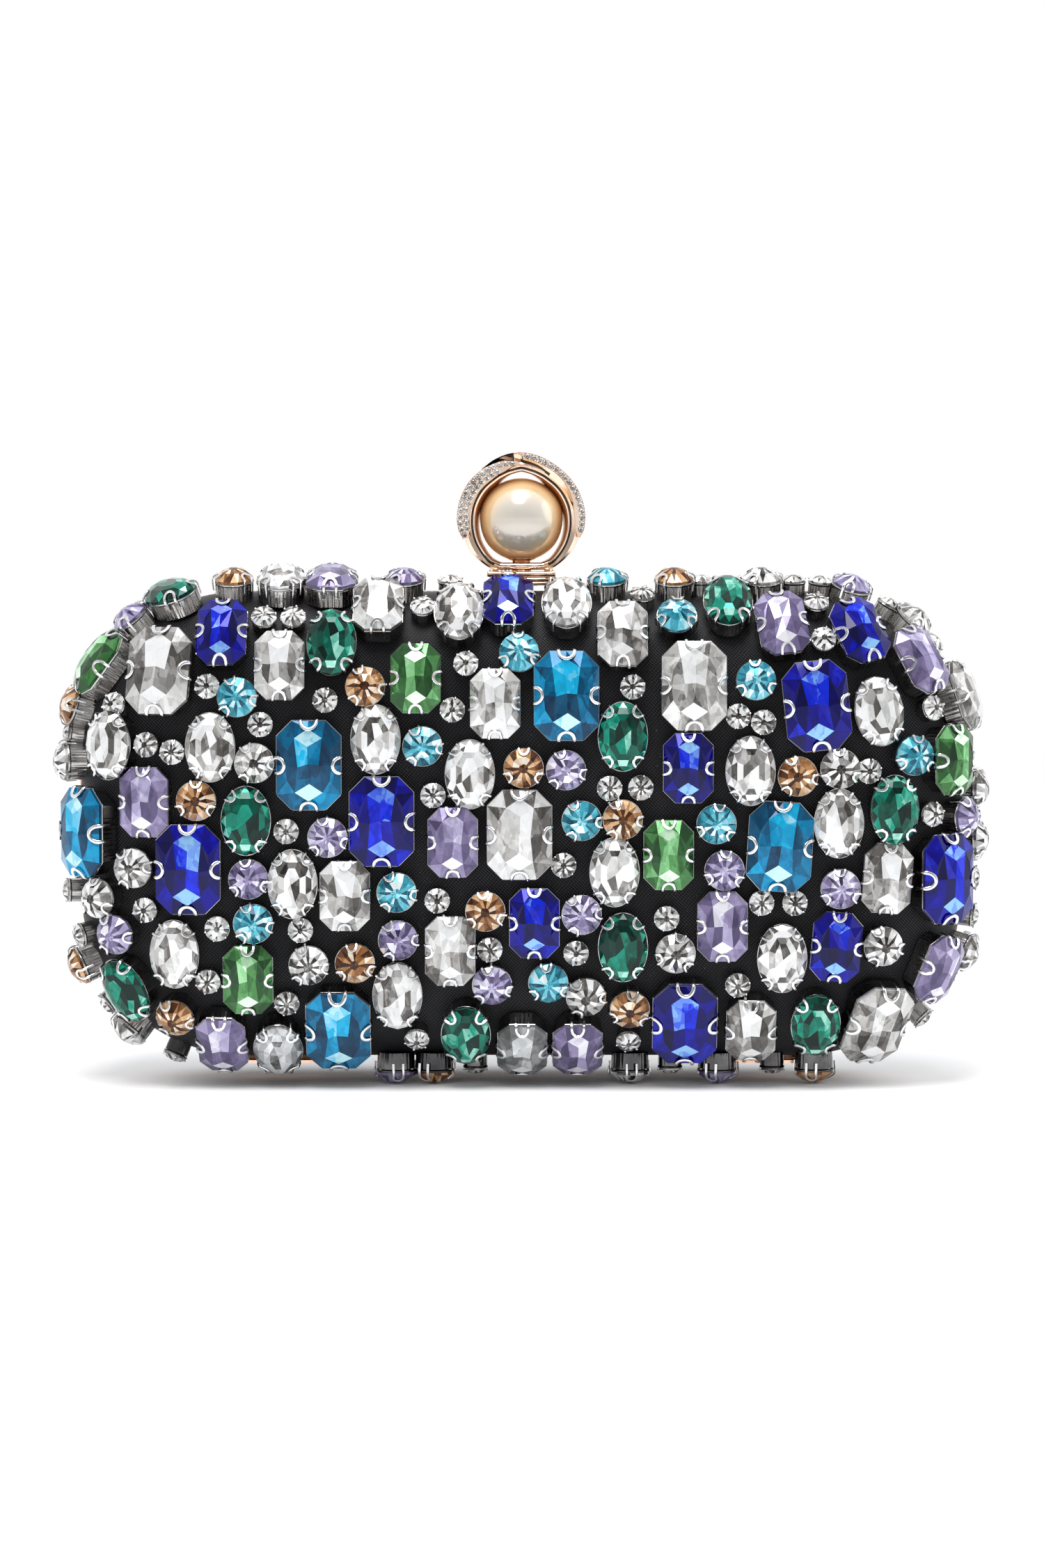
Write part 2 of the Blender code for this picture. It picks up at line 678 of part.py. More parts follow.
def hinge_leaf(name, side, centre_x):
    """A leaf under the frame, with its knuckles bored for the pin."""
    looks = ("rose_gold", ROSE_GOLD)
    top = -RIM_TOP - GAP
    clear = KNUCKLE_RADIUS + GAP
    near, far = sorted((side * clear, side * LEAF_REACH))
    low = (centre_x - HINGE_HALF_LENGTH, near, top - LEAF_THICKNESS)
    high = (centre_x + HINGE_HALF_LENGTH, far, top)
    leaf = box(name, low, high, looks)
    for number, (start, end) in enumerate(knuckle_spans(side)):
        near, far = sorted((side * PIN_RADIUS, side * (clear + LEAF_THICKNESS)))
        low = (centre_x + start, near, top - LEAF_THICKNESS)
        high = (centre_x + end, far, top)
        combine(leaf, box(f"{name}_tab_{number}", low, high, looks, CUTTERS), "UNION")
        ends = [(centre_x + x, 0.0, HINGE_Z) for x in (start, end)]
        knuckle = rod(f"{name}_knuckle_{number}", KNUCKLE_RADIUS, *ends, looks, collection=CUTTERS)
        combine(leaf, knuckle, "UNION")
    reach = HINGE_HALF_LENGTH + OVERRUN
    ends = [(centre_x + x, 0.0, HINGE_Z) for x in (-reach, reach)]
    bore = rod(f"{name}_bore", PIN_RADIUS + GAP, *ends, looks, collection=CUTTERS)
    combine(leaf, bore, "DIFFERENCE")
    return leaf


def headed_pin(name, radius, half_length, head_radius, head_length, origin):
    """A pin with a flat head at each end, one gap clear of what it holds together."""
    inner = half_length + GAP
    outer = inner + head_length
    profile = (
        (0.0, outer),
        (head_radius, outer),
        (head_radius, inner),
        (radius, inner),
        (radius, -inner),
        (head_radius, -inner),
        (head_radius, -outer),
        (0.0, -outer),
    )
    return turned(name, profile, origin, ("rose_gold", ROSE_GOLD))


# Clasp


def bracket():
    """The plate on the back frame, with the two ears that hold the axle."""
    looks = ("rose_gold", ROSE_GOLD)
    low = (-BRACKET_HALF_WIDTH, BRACKET_NEAR, RIM_TOP + GAP)
    high = (BRACKET_HALF_WIDTH, BRACKET_FAR, RIM_TOP + GAP + BRACKET_THICKNESS)
    plate = box("clasp_bracket", low, high, looks)
    for name, inner in (("left", -EAR_INNER - EAR_THICKNESS), ("right", EAR_INNER)):
        low = (inner, AXLE_DEPTH - BARREL_RADIUS, RIM_TOP + GAP + BRACKET_THICKNESS / 2.0)
        high = (inner + EAR_THICKNESS, AXLE_DEPTH + BARREL_RADIUS, AXLE_Z)
        combine(plate, box(f"ear_{name}", low, high, looks, CUTTERS), "UNION")
        ends = [(inner + x, AXLE_DEPTH, AXLE_Z) for x in (0.0, EAR_THICKNESS)]
        combine(plate, rod(f"ear_top_{name}", BARREL_RADIUS, *ends, looks, collection=CUTTERS), "UNION")
    cut_axle_bore(plate, "bracket_bore")
    return plate


def cut_axle_bore(made, name):
    reach = EAR_INNER + EAR_THICKNESS + OVERRUN
    ends = [(x, AXLE_DEPTH, AXLE_Z) for x in (-reach, reach)]
    bore = rod(name, AXLE_RADIUS + GAP, *ends, ("rose_gold", ROSE_GOLD), collection=CUTTERS)
    combine(made, bore, "DIFFERENCE")


def lever():
    """The slab under the ring, its arm and barrel on the axle, and the hook in front of the catch."""
    looks = ("rose_gold", ROSE_GOLD)
    low_z = RIM_TOP + SLAB_HEIGHT
    high_z = low_z + SLAB_THICKNESS
    low = (-SLAB_HALF_WIDTH, -SLAB_FRONT, low_z)
    slab = box("clasp_lever", low, (SLAB_HALF_WIDTH, SLAB_BACK, high_z), looks)
    low = (-WING_HALF_WIDTH, SLAB_BACK - SLAB_THICKNESS, low_z)
    combine(slab, box("wing", low, (WING_HALF_WIDTH, WING_DEPTH, high_z), looks, CUTTERS), "UNION")
    low = (-ARM_HALF_WIDTH, WING_DEPTH - SLAB_THICKNESS, low_z)
    combine(slab, box("arm", low, (ARM_HALF_WIDTH, AXLE_DEPTH, high_z), looks, CUTTERS), "UNION")
    ends = [(x, AXLE_DEPTH, AXLE_Z) for x in (-BARREL_HALF_WIDTH, BARREL_HALF_WIDTH)]
    combine(slab, rod("barrel", BARREL_RADIUS, *ends, looks, collection=CUTTERS), "UNION")
    low = (-HOOK_HALF_WIDTH, -SLAB_FRONT, RIM_TOP + HOOK_HEIGHT)
    high = (HOOK_HALF_WIDTH, -SLAB_FRONT + HOOK_THICKNESS, low_z + SLAB_THICKNESS / 2.0)
    combine(slab, box("hook", low, high, looks, CUTTERS), "UNION")
    cut_axle_bore(slab, "barrel_bore")
    cut_post_hole(slab, "slab_hole")
    return slab


def catch():
    """The ridge on the front frame that the hook holds."""
    front = -SLAB_FRONT + HOOK_THICKNESS + HOOK_CLEARANCE
    low = (-CATCH_HALF_WIDTH, front, RIM_TOP + GAP)
    high = (CATCH_HALF_WIDTH, front + CATCH_THICKNESS, RIM_TOP + CATCH_HEIGHT)
    return box("clasp_catch", low, high, ("rose_gold", ROSE_GOLD))


def flat_bottomed(radius, flat, angle):
    """The ring's radius at an angle, with its bottom cut flat."""
    rise = -math.sin(angle)
    return min(radius, flat / rise) if rise > 0.0 else radius


def band(name, angles, inner, outer, half_depth, closed, looks):
    """A flat-sided band round the pearl's centre, its radii given by functions of the angle."""
    shape = bmesh.new()
    sections = []
    for angle in angles:
        section = []
        for radius, y in ((inner, -1), (outer, -1), (outer, 1), (inner, 1)):
            reach = radius(angle)
            x, z = reach * math.cos(angle), PEARL_Z + reach * math.sin(angle)
            section.append(shape.verts.new((x, y * half_depth, z)))
        sections.append(section)
    bridge(shape, sections, closed)
    if not closed:
        shape.faces.new(sections[0])
        shape.faces.new(sections[-1])
    made = add_object(name, shape, looks)
    smooth(made, 30.0)
    return made


def pearl_ring():
    flat_out = PEARL_HEIGHT - SLAB_HEIGHT - SLAB_THICKNESS - GAP
    angles = [math.radians(360.0 * step / RING_STEPS) for step in range(RING_STEPS)]
    ring = band(
        "pearl_ring",
        angles,
        lambda angle: flat_bottomed(RING_INNER_RADIUS, flat_out - RING_WALL, angle),
        lambda angle: flat_bottomed(RING_OUTER_RADIUS, flat_out, angle),
        RING_HALF_DEPTH,
        True,
        ("rose_gold", ROSE_GOLD),
    )
    cut_post_hole(ring, "ring_hole")
    return ring


def ring_wrap(name, side):
    """One of the two jewelled bands over the ring, thickest at the top."""

    def inner(_):
        return RING_OUTER_RADIUS + GAP

    def outer(angle):
        up = math.degrees(angle) if side > 0 else 180.0 - math.degrees(angle)
        share = (up - WRAP_LOW_ANGLE) / (WRAP_TOP_ANGLE - WRAP_LOW_ANGLE)
        return inner(angle) + WRAP_THIN + (WRAP_THICK - WRAP_THIN) * math.sin(share * math.pi / 2.0)

    angles = []
    for step in range(WRAP_STEPS + 1):
        up = WRAP_LOW_ANGLE + (WRAP_TOP_ANGLE - WRAP_LOW_ANGLE) * step / WRAP_STEPS
        angles.append(math.radians(up if side > 0 else 180.0 - up))
    return band(name, angles, inner, outer, WRAP_HALF_DEPTH, False, ("rose_gold", ROSE_GOLD))


def cut_post_hole(made, name):
    low = (0.0, 0.0, RIM_TOP)
    top = (0.0, 0.0, PEARL_Z - PEARL_RADIUS + POST_IN_PEARL)
    hole = rod(name, POST_RADIUS + GAP, low, top, ("rose_gold", ROSE_GOLD), collection=CUTTERS)
    combine(made, hole, "DIFFERENCE")


def pearl():
    shape = bmesh.new()
    matrix = Matrix.Translation((0.0, 0.0, PEARL_Z))
    bmesh.ops.create_uvsphere(shape, u_segments=20, v_segments=12, radius=PEARL_RADIUS, matrix=matrix)
    made = add_object("pearl", shape, ("pearl", PEARL_CREAM))
    smooth(made, 60.0)
    cut_post_hole(made, "pearl_hole")
    return made


def pearl_post():
    low = (0.0, 0.0, RIM_TOP + SLAB_HEIGHT)
    top = (0.0, 0.0, PEARL_Z - PEARL_RADIUS + POST_IN_PEARL - GAP)
    made = rod("pearl_post", POST_RADIUS, low, top, ("rose_gold", ROSE_GOLD), sides=12)
    smooth(made)
    return made


def spring_points():
    """The wire's middle line: a tail down to the bracket, the coil round the axle, a leg over the wing."""
    start_x = -EAR_INNER + GAP + WIRE_RADIUS
    back = AXLE_DEPTH + COIL_RADIUS
    points = [Vector((start_x, back, RIM_TOP + GAP + BRACKET_THICKNESS + GAP))]
    steps = int(COIL_TURNS * COIL_STEPS)
    for step in range(steps + 1):
        turns = step / COIL_STEPS
        angle = 2.0 * math.pi * turns
        y = AXLE_DEPTH + COIL_RADIUS * math.cos(angle)
        z = AXLE_Z + COIL_RADIUS * math.sin(angle)
        points.append(Vector((start_x + coil_pitch() * turns, y, z)))
    points.append(Vector((points[-1].x, AXLE_DEPTH - SPRING_REACH, AXLE_Z + COIL_RADIUS)))
    return points


def coil_pitch():
    """What the coil advances in a turn, filling the room between the ear and the barrel."""
    room = EAR_INNER - BARREL_HALF_WIDTH - 2.0 * (GAP + WIRE_RADIUS)
    return room / COIL_TURNS


def clasp_spring():
    points = spring_points()
    curve = bpy.data.curves.new("clasp_spring", "CURVE")
    curve.dimensions = "3D"
    curve.bevel_depth = WIRE_RADIUS
    curve.bevel_resolution = 1
    curve.use_fill_caps = True
    curve.materials.append(make_material("steel", *STEEL))
    spline = curve.splines.new("POLY")
    spline.points.add(len(points) - 1)
    for place, point in zip(spline.points, points):
        place.co = (*point, 1.0)
    made = bpy.data.objects.new("clasp_spring", curve)
    PARTS.objects.link(made)
    return made


# Assembly


def pivot(name, location, parent=None):
    made = bpy.data.objects.new(name, None)
    PARTS.objects.link(made)
    made.location = location
    made.parent = parent
    return made


def hang(pieces, parent, origin=(0.0, 0.0, 0.0)):
    """Parent pieces made in the case's coordinates to a pivot that lies at origin there."""
    for piece in pieces:
        piece.parent = parent
        piece.location = piece.location - Vector(origin)


def build_half(word, side):
    """The satin, shell, lining, frame and hinge leaves of one half."""
    satin_rim = FLANGE_DEPTH + GAP
    inner_rim = LIP_DEPTH + GAP
    shell_layer = SATIN + GAP
    lining_layer = shell_layer + SHELL + GAP
    pieces = [
        dish(f"{word}_cover", side, 0.0, satin_rim, SATIN, ("black_satin", BLACK_SATIN)),
        dish(f"{word}_shell", side, shell_layer, inner_rim, SHELL, ("shell", SHELL_BOARD)),
        dish(f"{word}_lining", side, lining_layer, inner_rim, LINING, ("lining", LINING_SUEDE)),
        frame(f"{word}_frame", side),
    ]
    for name, x in (("left", -HINGE_CENTRE_X), ("right", HINGE_CENTRE_X)):
        pieces.append(hinge_leaf(f"{word}_hinge_leaf_{name}", side, x))
    return pieces


def build():
    seats = stone_seats()
    lowest, foremost = lowest_and_foremost(seats)
    centre = Vector((0.0, -(foremost + HALF_DEPTH) / 2.0, -lowest))
    root = pivot("clutch_centre", centre)
    hinge_line = Vector((0.0, 0.0, HINGE_Z))
    axle_line = Vector((0.0, AXLE_DEPTH, AXLE_Z))
    lid = pivot("front_half_hinge", hinge_line, root)
    clasp = pivot("clasp_axle_line", axle_line, root)

    back = build_half("back", BACK)
    front = build_half("front", FRONT)
    settings, crystals = add_crystals(seats)
    combine(front[0], settings, "UNION", use_self=True)
    front.append(catch())
    for name, x in (("left", -HINGE_CENTRE_X), ("right", HINGE_CENTRE_X)):
        back.append(
            headed_pin(
                f"hinge_pin_{name}",
                PIN_RADIUS,
                HINGE_HALF_LENGTH,
                PIN_HEAD_RADIUS,
                PIN_HEAD_LENGTH,
                (x, 0.0, HINGE_Z),
            )
        )
    ear_reach = EAR_INNER + EAR_THICKNESS
    back += [
        bracket(),
        headed_pin("clasp_axle", AXLE_RADIUS, ear_reach, AXLE_HEAD_RADIUS, AXLE_HEAD_LENGTH, axle_line),
        clasp_spring(),
    ]
    moving = [
        lever(),
        pearl_ring(),
        ring_wrap("ring_wrap_left", -1),
        ring_wrap("ring_wrap_right", 1),
        pearl(),
        pearl_post(),
    ]
    hang(back, root)
    hang(front + crystals, lid, hinge_line)
    hang(moving, clasp, axle_line)
    hang(CUTTERS.objects, root)
    bpy.context.view_layer.update()
    print("front half turns about", tuple(lid.matrix_world.translation))
    print("clasp turns about", tuple(clasp.matrix_world.translation))
    print("spring wire's least gap to itself", coil_pitch() - 2.0 * WIRE_RADIUS)


build()
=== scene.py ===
"""Looks of a jewelled clutch: fine satin, milled rims, set crystals and a pearl clasp on the CAD frame."""

import json
import math
import random
from collections import namedtuple

import bmesh
import bpy
from mathutils import Matrix, Vector


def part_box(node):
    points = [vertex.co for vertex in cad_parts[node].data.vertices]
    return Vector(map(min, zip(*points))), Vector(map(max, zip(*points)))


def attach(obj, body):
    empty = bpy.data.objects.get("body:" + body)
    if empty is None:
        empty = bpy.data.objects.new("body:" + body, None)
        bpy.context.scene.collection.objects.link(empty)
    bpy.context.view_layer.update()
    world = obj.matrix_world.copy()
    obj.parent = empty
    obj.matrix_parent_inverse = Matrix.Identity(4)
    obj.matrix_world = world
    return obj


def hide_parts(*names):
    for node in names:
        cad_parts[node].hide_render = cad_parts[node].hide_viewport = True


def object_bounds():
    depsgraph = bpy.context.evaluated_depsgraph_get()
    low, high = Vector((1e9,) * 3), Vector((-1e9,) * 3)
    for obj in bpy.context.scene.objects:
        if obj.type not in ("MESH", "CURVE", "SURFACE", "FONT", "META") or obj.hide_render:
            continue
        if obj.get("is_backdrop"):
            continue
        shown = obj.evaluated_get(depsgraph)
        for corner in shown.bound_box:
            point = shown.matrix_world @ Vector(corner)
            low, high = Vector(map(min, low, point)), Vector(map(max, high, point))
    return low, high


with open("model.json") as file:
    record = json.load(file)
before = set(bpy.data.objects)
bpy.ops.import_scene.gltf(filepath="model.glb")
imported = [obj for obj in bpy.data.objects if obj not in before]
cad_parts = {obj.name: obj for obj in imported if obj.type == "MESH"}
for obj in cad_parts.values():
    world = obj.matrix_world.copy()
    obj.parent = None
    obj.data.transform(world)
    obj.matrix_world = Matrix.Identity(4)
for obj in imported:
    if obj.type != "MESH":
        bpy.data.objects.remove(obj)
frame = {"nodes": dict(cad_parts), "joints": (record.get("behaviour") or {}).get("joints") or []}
CAD_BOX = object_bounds()

MM = 0.001
FRONT, BACK = -1.0, 1.0
SCENE = bpy.context.scene
SCENE.view_settings.view_transform = "Standard"
CHANCE = random.Random(7)

# The case, from the frame
RIM_LOW, RIM_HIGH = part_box("back_frame")
JOINTS = {joint["name"]: joint for joint in frame["joints"]}
HINGE = Vector(JOINTS["front_opening"]["pos_m"])
FRAME_PROUD = 0.8 * MM
CENTRE = Vector((0.0, HINGE.y, (RIM_LOW.z + RIM_HIGH.z) / 2.0))
HALF_WIDTH = RIM_HIGH.x - FRAME_PROUD
HALF_HEIGHT = (RIM_HIGH.z - RIM_LOW.z) / 2.0 - FRAME_PROUD
HALF_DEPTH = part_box("back_cover")[1].y - CENTRE.y
RIM_TOP = HALF_HEIGHT + FRAME_PROUD
CORNER_RADIUS = 33.0 * MM
FLAT_CORNER_RADIUS = 1.0 * MM
SHOULDER = CORNER_RADIUS - FLAT_CORNER_RADIUS
SHOULDER_POWER = 3.0
GAP = 0.3 * MM
SATIN = 0.8 * MM
SHELL = 1.2 * MM
# How far the board's flat facets stand in from its true curve
BOARD_BULGE = 0.45 * MM
FLANGE_DEPTH = 2.6 * MM
HEM_STEPS = 4
WALL_STEPS = 28
SKIN_SPACING = 2.2 * MM
FLANGE_INSET = 0.8 * MM
LIP_DEPTH = 0.95 * MM
LIP_INSET = 4.0 * MM

# Crystals
EMBED = 0.45 * MM
SETTING_HEIGHT = 3.4 * MM
CROWN_HEIGHT = 2.7 * MM
GIRDLE = SETTING_HEIGHT + 0.7 * MM
SMALL_HEIGHT = 4.0 * MM
SETTING_FOOT_SHARE = 0.92
SETTING_TOP_SHARE = 0.965
CRYSTAL_SHARE = 0.99
EDGE_STONE_DEPTH = 9.5 * MM
SMALL_EDGE_STONE_DEPTH = 8.0 * MM
FOOT_DEPTH = 10.0 * MM

# Clasp
PEARL_HEIGHT = 13.8 * MM
PEARL_RADIUS = 8.5 * MM
PEARL_Z = RIM_TOP + PEARL_HEIGHT

# Crystals' places as shares of the half width and half height, and how far some lean right, in degrees
FACE_STONE_SHARES = {
    ("large_octagon", "clear"): ((-0.795, 0.657), (0.383, 0.607), (-0.004, -0.010), (0.784, -0.789, 5)),
    ("large_octagon", "cobalt"): (
        (0.654, 0.528, -6), (-0.310, 0.046), (-0.738, -0.157), (0.365, -0.787), (0.929, -0.206),
    ),
    ("large_octagon", "turquoise"): (
        (-0.471, 0.283), (0.100, 0.568), (-0.954, -0.012), (-0.409, -0.813), (0.574, -0.060, 3.5),
    ),
    ("octagon", "clear"): (
        (-0.319, 0.900), (-0.536, 0.685), (-0.058, 0.537), (0.225, 0.801), (0.962, 0.541), (-0.392, -0.268),
        (-0.158, -0.498), (0.807, -0.196, 4.5), (0.513, -0.813),
    ),
    ("octagon", "cobalt"): (
        (-0.029, 0.917), (-0.663, 0.805), (0.744, 0.808, -15), (0.029, -0.383), (0.370, 0.271),
        (0.699, -0.481, 4.6),
    ),
    ("octagon", "peridot"): (
        (-0.234, 0.636), (-0.920, 0.672, 22), (-0.608, -0.614), (0.327, -0.095), (0.940, 0.297),
    ),
    ("octagon", "smoke"): ((0.002, -0.884),),
    ("octagon", "violet"): (
        (0.579, 0.838, -9), (0.871, 0.688, -14), (-0.829, 0.126), (-0.667, -0.865), (-0.152, -0.042),
        (0.126, -0.884), (0.447, -0.397), (0.911, -0.572, 13),
    ),
    ("oval", "clear"): (
        (-0.139, 0.880), (0.101, 0.908), (-0.901, 0.359), (-0.689, 0.358), (-0.323, 0.391),
        (0.787, 0.501, -8), (-0.508, -0.218), (-0.767, -0.509), (-0.114, 0.245), (0.207, -0.168),
        (-0.276, -0.677), (0.508, 0.259), (0.704, 0.038), (0.580, -0.528),
    ),
    ("oval", "emerald"): (
        (0.461, 0.915), (-0.421, 0.771), (0.225, 0.403), (-0.611, 0.049), (-0.867, -0.653, -17),
        (0.226, -0.483), (-0.124, -0.831), (0.822, 0.094), (0.656, -0.792),
    ),
    ("oval", "smoke"): ((-0.545, -0.886),),
    ("round", "amber"): (
        (-0.346, 0.604), (-0.720, 0.133), (-0.370, -0.548), (-0.765, -0.762), (0.005, 0.271),
        (0.225, 0.054), (-0.080, -0.334), (0.242, -0.731), (0.613, 0.236),
    ),
    ("round", "aqua"): (
        (0.346, 0.864), (-0.630, 0.562), (-0.005, 0.734), (-0.219, 0.362), (0.520, 0.628), (-0.596, -0.386),
        (0.134, 0.049), (-0.277, -0.254), (0.060, -0.627), (0.862, 0.320), (0.433, 0.035),
    ),
    ("round", "clear"): (
        (-0.592, 0.292), (-0.853, -0.154), (-0.924, -0.288), (-0.473, -0.556), (0.144, -0.683),
        (0.343, -0.508), (0.706, 0.268), (0.799, -0.477),
    ),
    ("round", "violet"): (
        (-0.430, -0.022), (-0.606, -0.198), (-0.890, -0.431), (0.099, 0.262), (0.134, -0.348),
        (-0.274, -0.454), (-0.065, -0.636), (0.451, -0.161), (0.708, -0.239), (0.965, 0.051),
    ),
    ("small_round", "clear"): (
        (-0.220, 0.904), (0.657, 0.918), (-0.573, 0.866), (-0.508, 0.866), (-0.695, 0.605), (-0.435, 0.551),
        (-0.579, 0.452), (-0.827, 0.365), (-0.772, 0.336), (-0.123, 0.695), (0.247, 0.603), (-0.153, 0.512),
        (0.481, 0.486), (0.537, 0.461), (0.902, 0.506), (0.670, 0.787), (-0.893, 0.520), (-0.967, -0.448),
        (-0.522, 0.003), (-0.831, -0.331), (-0.676, -0.408), (-0.491, -0.414), (-0.696, -0.625),
        (-0.523, -0.713), (-0.196, 0.155), (0.196, 0.185), (0.265, 0.187), (0.094, -0.140),
        (-0.187, -0.290), (-0.070, -0.495), (0.122, -0.509), (0.323, -0.365), (-0.234, -0.857),
        (0.240, -0.865), (0.769, 0.257), (0.903, 0.070), (0.534, -0.300), (0.608, -0.300), (0.482, -0.640),
        (0.271, 0.945),
    ),
}

EDGE_STONE_SHARES = {
    ("octagon", "violet"): ((-0.427, 0.983),),
    ("oval", "clear"): ((-0.540, 0.983),),
    ("oval", "emerald"): ((-0.771, 0.919, 90),),
    ("round", "amber"): ((-0.645, 0.983), (0.343, 0.983), (-0.970, 0.496), (-0.962, -0.571)),
    ("round", "aqua"): ((0.192, 0.983),),
    ("round", "clear"): (
        (0.541, 0.983), (0.859, 0.831), (-0.991, 0.278), (-0.864, -0.824), (0.991, 0.156), (0.991, -0.053),
        (0.972, -0.524),
    ),
    ("round", "violet"): ((-0.263, 0.983), (0.732, 0.956), (-0.853, 0.828)),
    ("small_round", "clear"): (
        (-0.160, 0.989), (0.406, 0.989), (0.613, 0.989), (0.671, 0.986), (0.813, 0.899), (0.907, 0.751),
        (-0.982, 0.390), (-0.994, -0.278), (-0.916, -0.731), (-0.771, -0.922), (0.994, -0.224),
        (0.992, -0.379), (0.891, -0.790),
    ),
}

FOOT_STONE_SHARES = {
    ("round", "amber"): (-0.197, 0.664),
    ("round", "clear"): (0.246,),
    ("round", "violet"): (-0.284, 0.443),
    ("small_round", "clear"): (-0.104, 0.337, 0.568),
}

Cut = namedtuple("Cut", "width length corner")
CUTS = {
    "large_octagon": Cut(13.0 * MM, 18.0 * MM, 3.1 * MM),
    "octagon": Cut(10.0 * MM, 14.0 * MM, 2.4 * MM),
    "oval": Cut(10.0 * MM, 14.0 * MM, 0.0),
    "round": Cut(8.0 * MM, 8.0 * MM, 0.0),
    "small_round": Cut(5.0 * MM, 5.0 * MM, 0.0),
}

# Each hue from its darkest facet to its brightest: the spread between them is painted reflection
CRYSTAL_RAMPS = {
    "clear": (
        (0.025, 0.022, 0.020), (0.15, 0.14, 0.13), (0.52, 0.51, 0.49), (0.88, 0.88, 0.87), (1.0, 1.0, 1.0),
    ),
    "smoke": (
        (0.05, 0.05, 0.05), (0.17, 0.17, 0.17), (0.42, 0.43, 0.44), (0.74, 0.75, 0.76), (1.0, 1.0, 1.0),
    ),
    "cobalt": (
        (0.0, 0.0, 0.035), (0.001, 0.0, 0.11), (0.002, 0.001, 0.31), (0.006, 0.03, 0.82), (0.32, 0.62, 1.0),
    ),
    "turquoise": (
        (0.0, 0.022, 0.06), (0.0, 0.08, 0.18), (0.0, 0.25, 0.50), (0.01, 0.54, 0.90), (0.62, 0.94, 1.0),
    ),
    "emerald": (
        (0.0, 0.008, 0.006), (0.0, 0.026, 0.018), (0.001, 0.095, 0.060), (0.004, 0.33, 0.22),
        (0.50, 0.95, 0.80),
    ),
    "peridot": (
        (0.008, 0.038, 0.012), (0.024, 0.10, 0.026), (0.085, 0.29, 0.085), (0.32, 0.72, 0.33),
        (0.88, 1.0, 0.86),
    ),
    "violet": (
        (0.045, 0.035, 0.085), (0.12, 0.095, 0.20), (0.26, 0.215, 0.38), (0.52, 0.47, 0.70),
        (0.96, 0.95, 1.0),
    ),
    "aqua": (
        (0.004, 0.04, 0.07), (0.010, 0.14, 0.21), (0.04, 0.35, 0.46), (0.22, 0.68, 0.80), (0.92, 1.0, 1.0),
    ),
    "amber": (
        (0.030, 0.009, 0.003), (0.11, 0.035, 0.01), (0.36, 0.16, 0.05), (0.76, 0.46, 0.24),
        (1.0, 0.93, 0.80),
    ),
}
TONE_STOPS = (0.0, 0.28, 0.52, 0.78, 1.0)
# The pearl from its rim as seen from the front, 0, to its face, 1: golden nacre at the rim, and over the face
# a paler painted reflection
NACRE_AND_REFLECTION_STOPS = (
    (0.0, (0.94, 0.58, 0.25)), (0.50, (0.97, 0.70, 0.38)), (0.68, (0.93, 0.75, 0.51)),
    (0.80, (0.82, 0.74, 0.63)), (1.0, (0.77, 0.71, 0.63)),
)
# Each metal's darkest, usual and brightest tone, its roughness and the depth of its hairlines
METALS = {
    "rose_gold": ((0.72, 0.42, 0.29), (0.86, 0.56, 0.40), (0.95, 0.74, 0.60), 0.14, 0.02 * MM),
    "pink_gold": ((0.86, 0.58, 0.43), (0.95, 0.71, 0.56), (0.99, 0.83, 0.71), 0.09, 0.02 * MM),
    "spring_steel": ((0.42, 0.42, 0.43), (0.60, 0.60, 0.61), (0.74, 0.74, 0.74), 0.25, 0.02 * MM),
    "gunmetal": ((0.30, 0.29, 0.28), (0.46, 0.45, 0.44), (0.64, 0.63, 0.62), 0.14, 0.006 * MM),
    # Painted shade: the same gunmetal, darker, for the settings that face down to the floor
    "shaded_gunmetal": ((0.045, 0.044, 0.045), (0.085, 0.083, 0.085), (0.19, 0.185, 0.18), 0.14, 0.006 * MM),
    "inner_gold": ((0.55, 0.29, 0.12), (0.72, 0.42, 0.20), (0.84, 0.58, 0.36), 0.40, 0.02 * MM),
    # Painted shade: a near-black gold for grooves and shaded stretches of the clasp
    "shaded_gold": ((0.028, 0.021, 0.016), (0.055, 0.042, 0.032), (0.13, 0.10, 0.075), 0.12, 0.02 * MM),
    "silver": ((0.66, 0.66, 0.67), (0.82, 0.82, 0.83), (0.93, 0.93, 0.93), 0.14, 0.02 * MM),
}

# Materials


def new_material(name):
    material = bpy.data.materials.new(name)
    material.use_nodes = True
    tree = material.node_tree
    return material, tree, tree.nodes["Principled BSDF"]


def feed(node, inputs):
    """Links each named or numbered input of a node to a socket, or sets it to a value."""
    for name, value in inputs.items():
        if hasattr(value, "node"):
            node.id_data.links.new(value, node.inputs[name])
        else:
            node.inputs[name].default_value = value


def add_node(tree, kind, inputs=None, **settings):
    node = tree.nodes.new(f"ShaderNode{kind}")
    for name, value in settings.items():
        setattr(node, name, value)
    feed(node, inputs or {})
    return node


def math_node(tree, operation, first, second=None):
    inputs = {0: first} if second is None else {0: first, 1: second}
    return add_node(tree, "Math", inputs, operation=operation).outputs[0]


def object_place(tree, scale=(1.0, 1.0, 1.0), turn=(0.0, 0.0, 0.0), attribute=None):
    """The object's own coordinates, or those of an attribute, turned and scaled."""
    if attribute:
        place = add_node(tree, "Attribute", attribute_name=attribute).outputs["Vector"]
    else:
        place = add_node(tree, "TexCoord").outputs["Object"]
    rotation = [math.radians(angle) for angle in turn]
    return add_node(tree, "Mapping", {"Vector": place, "Scale": scale, "Rotation": rotation}).outputs[0]


def noise(tree, scale, detail=3.0, place=None):
    inputs = {"Scale": scale, "Detail": detail, "Vector": place or object_place(tree)}
    return add_node(tree, "TexNoise", inputs).outputs["Fac"]


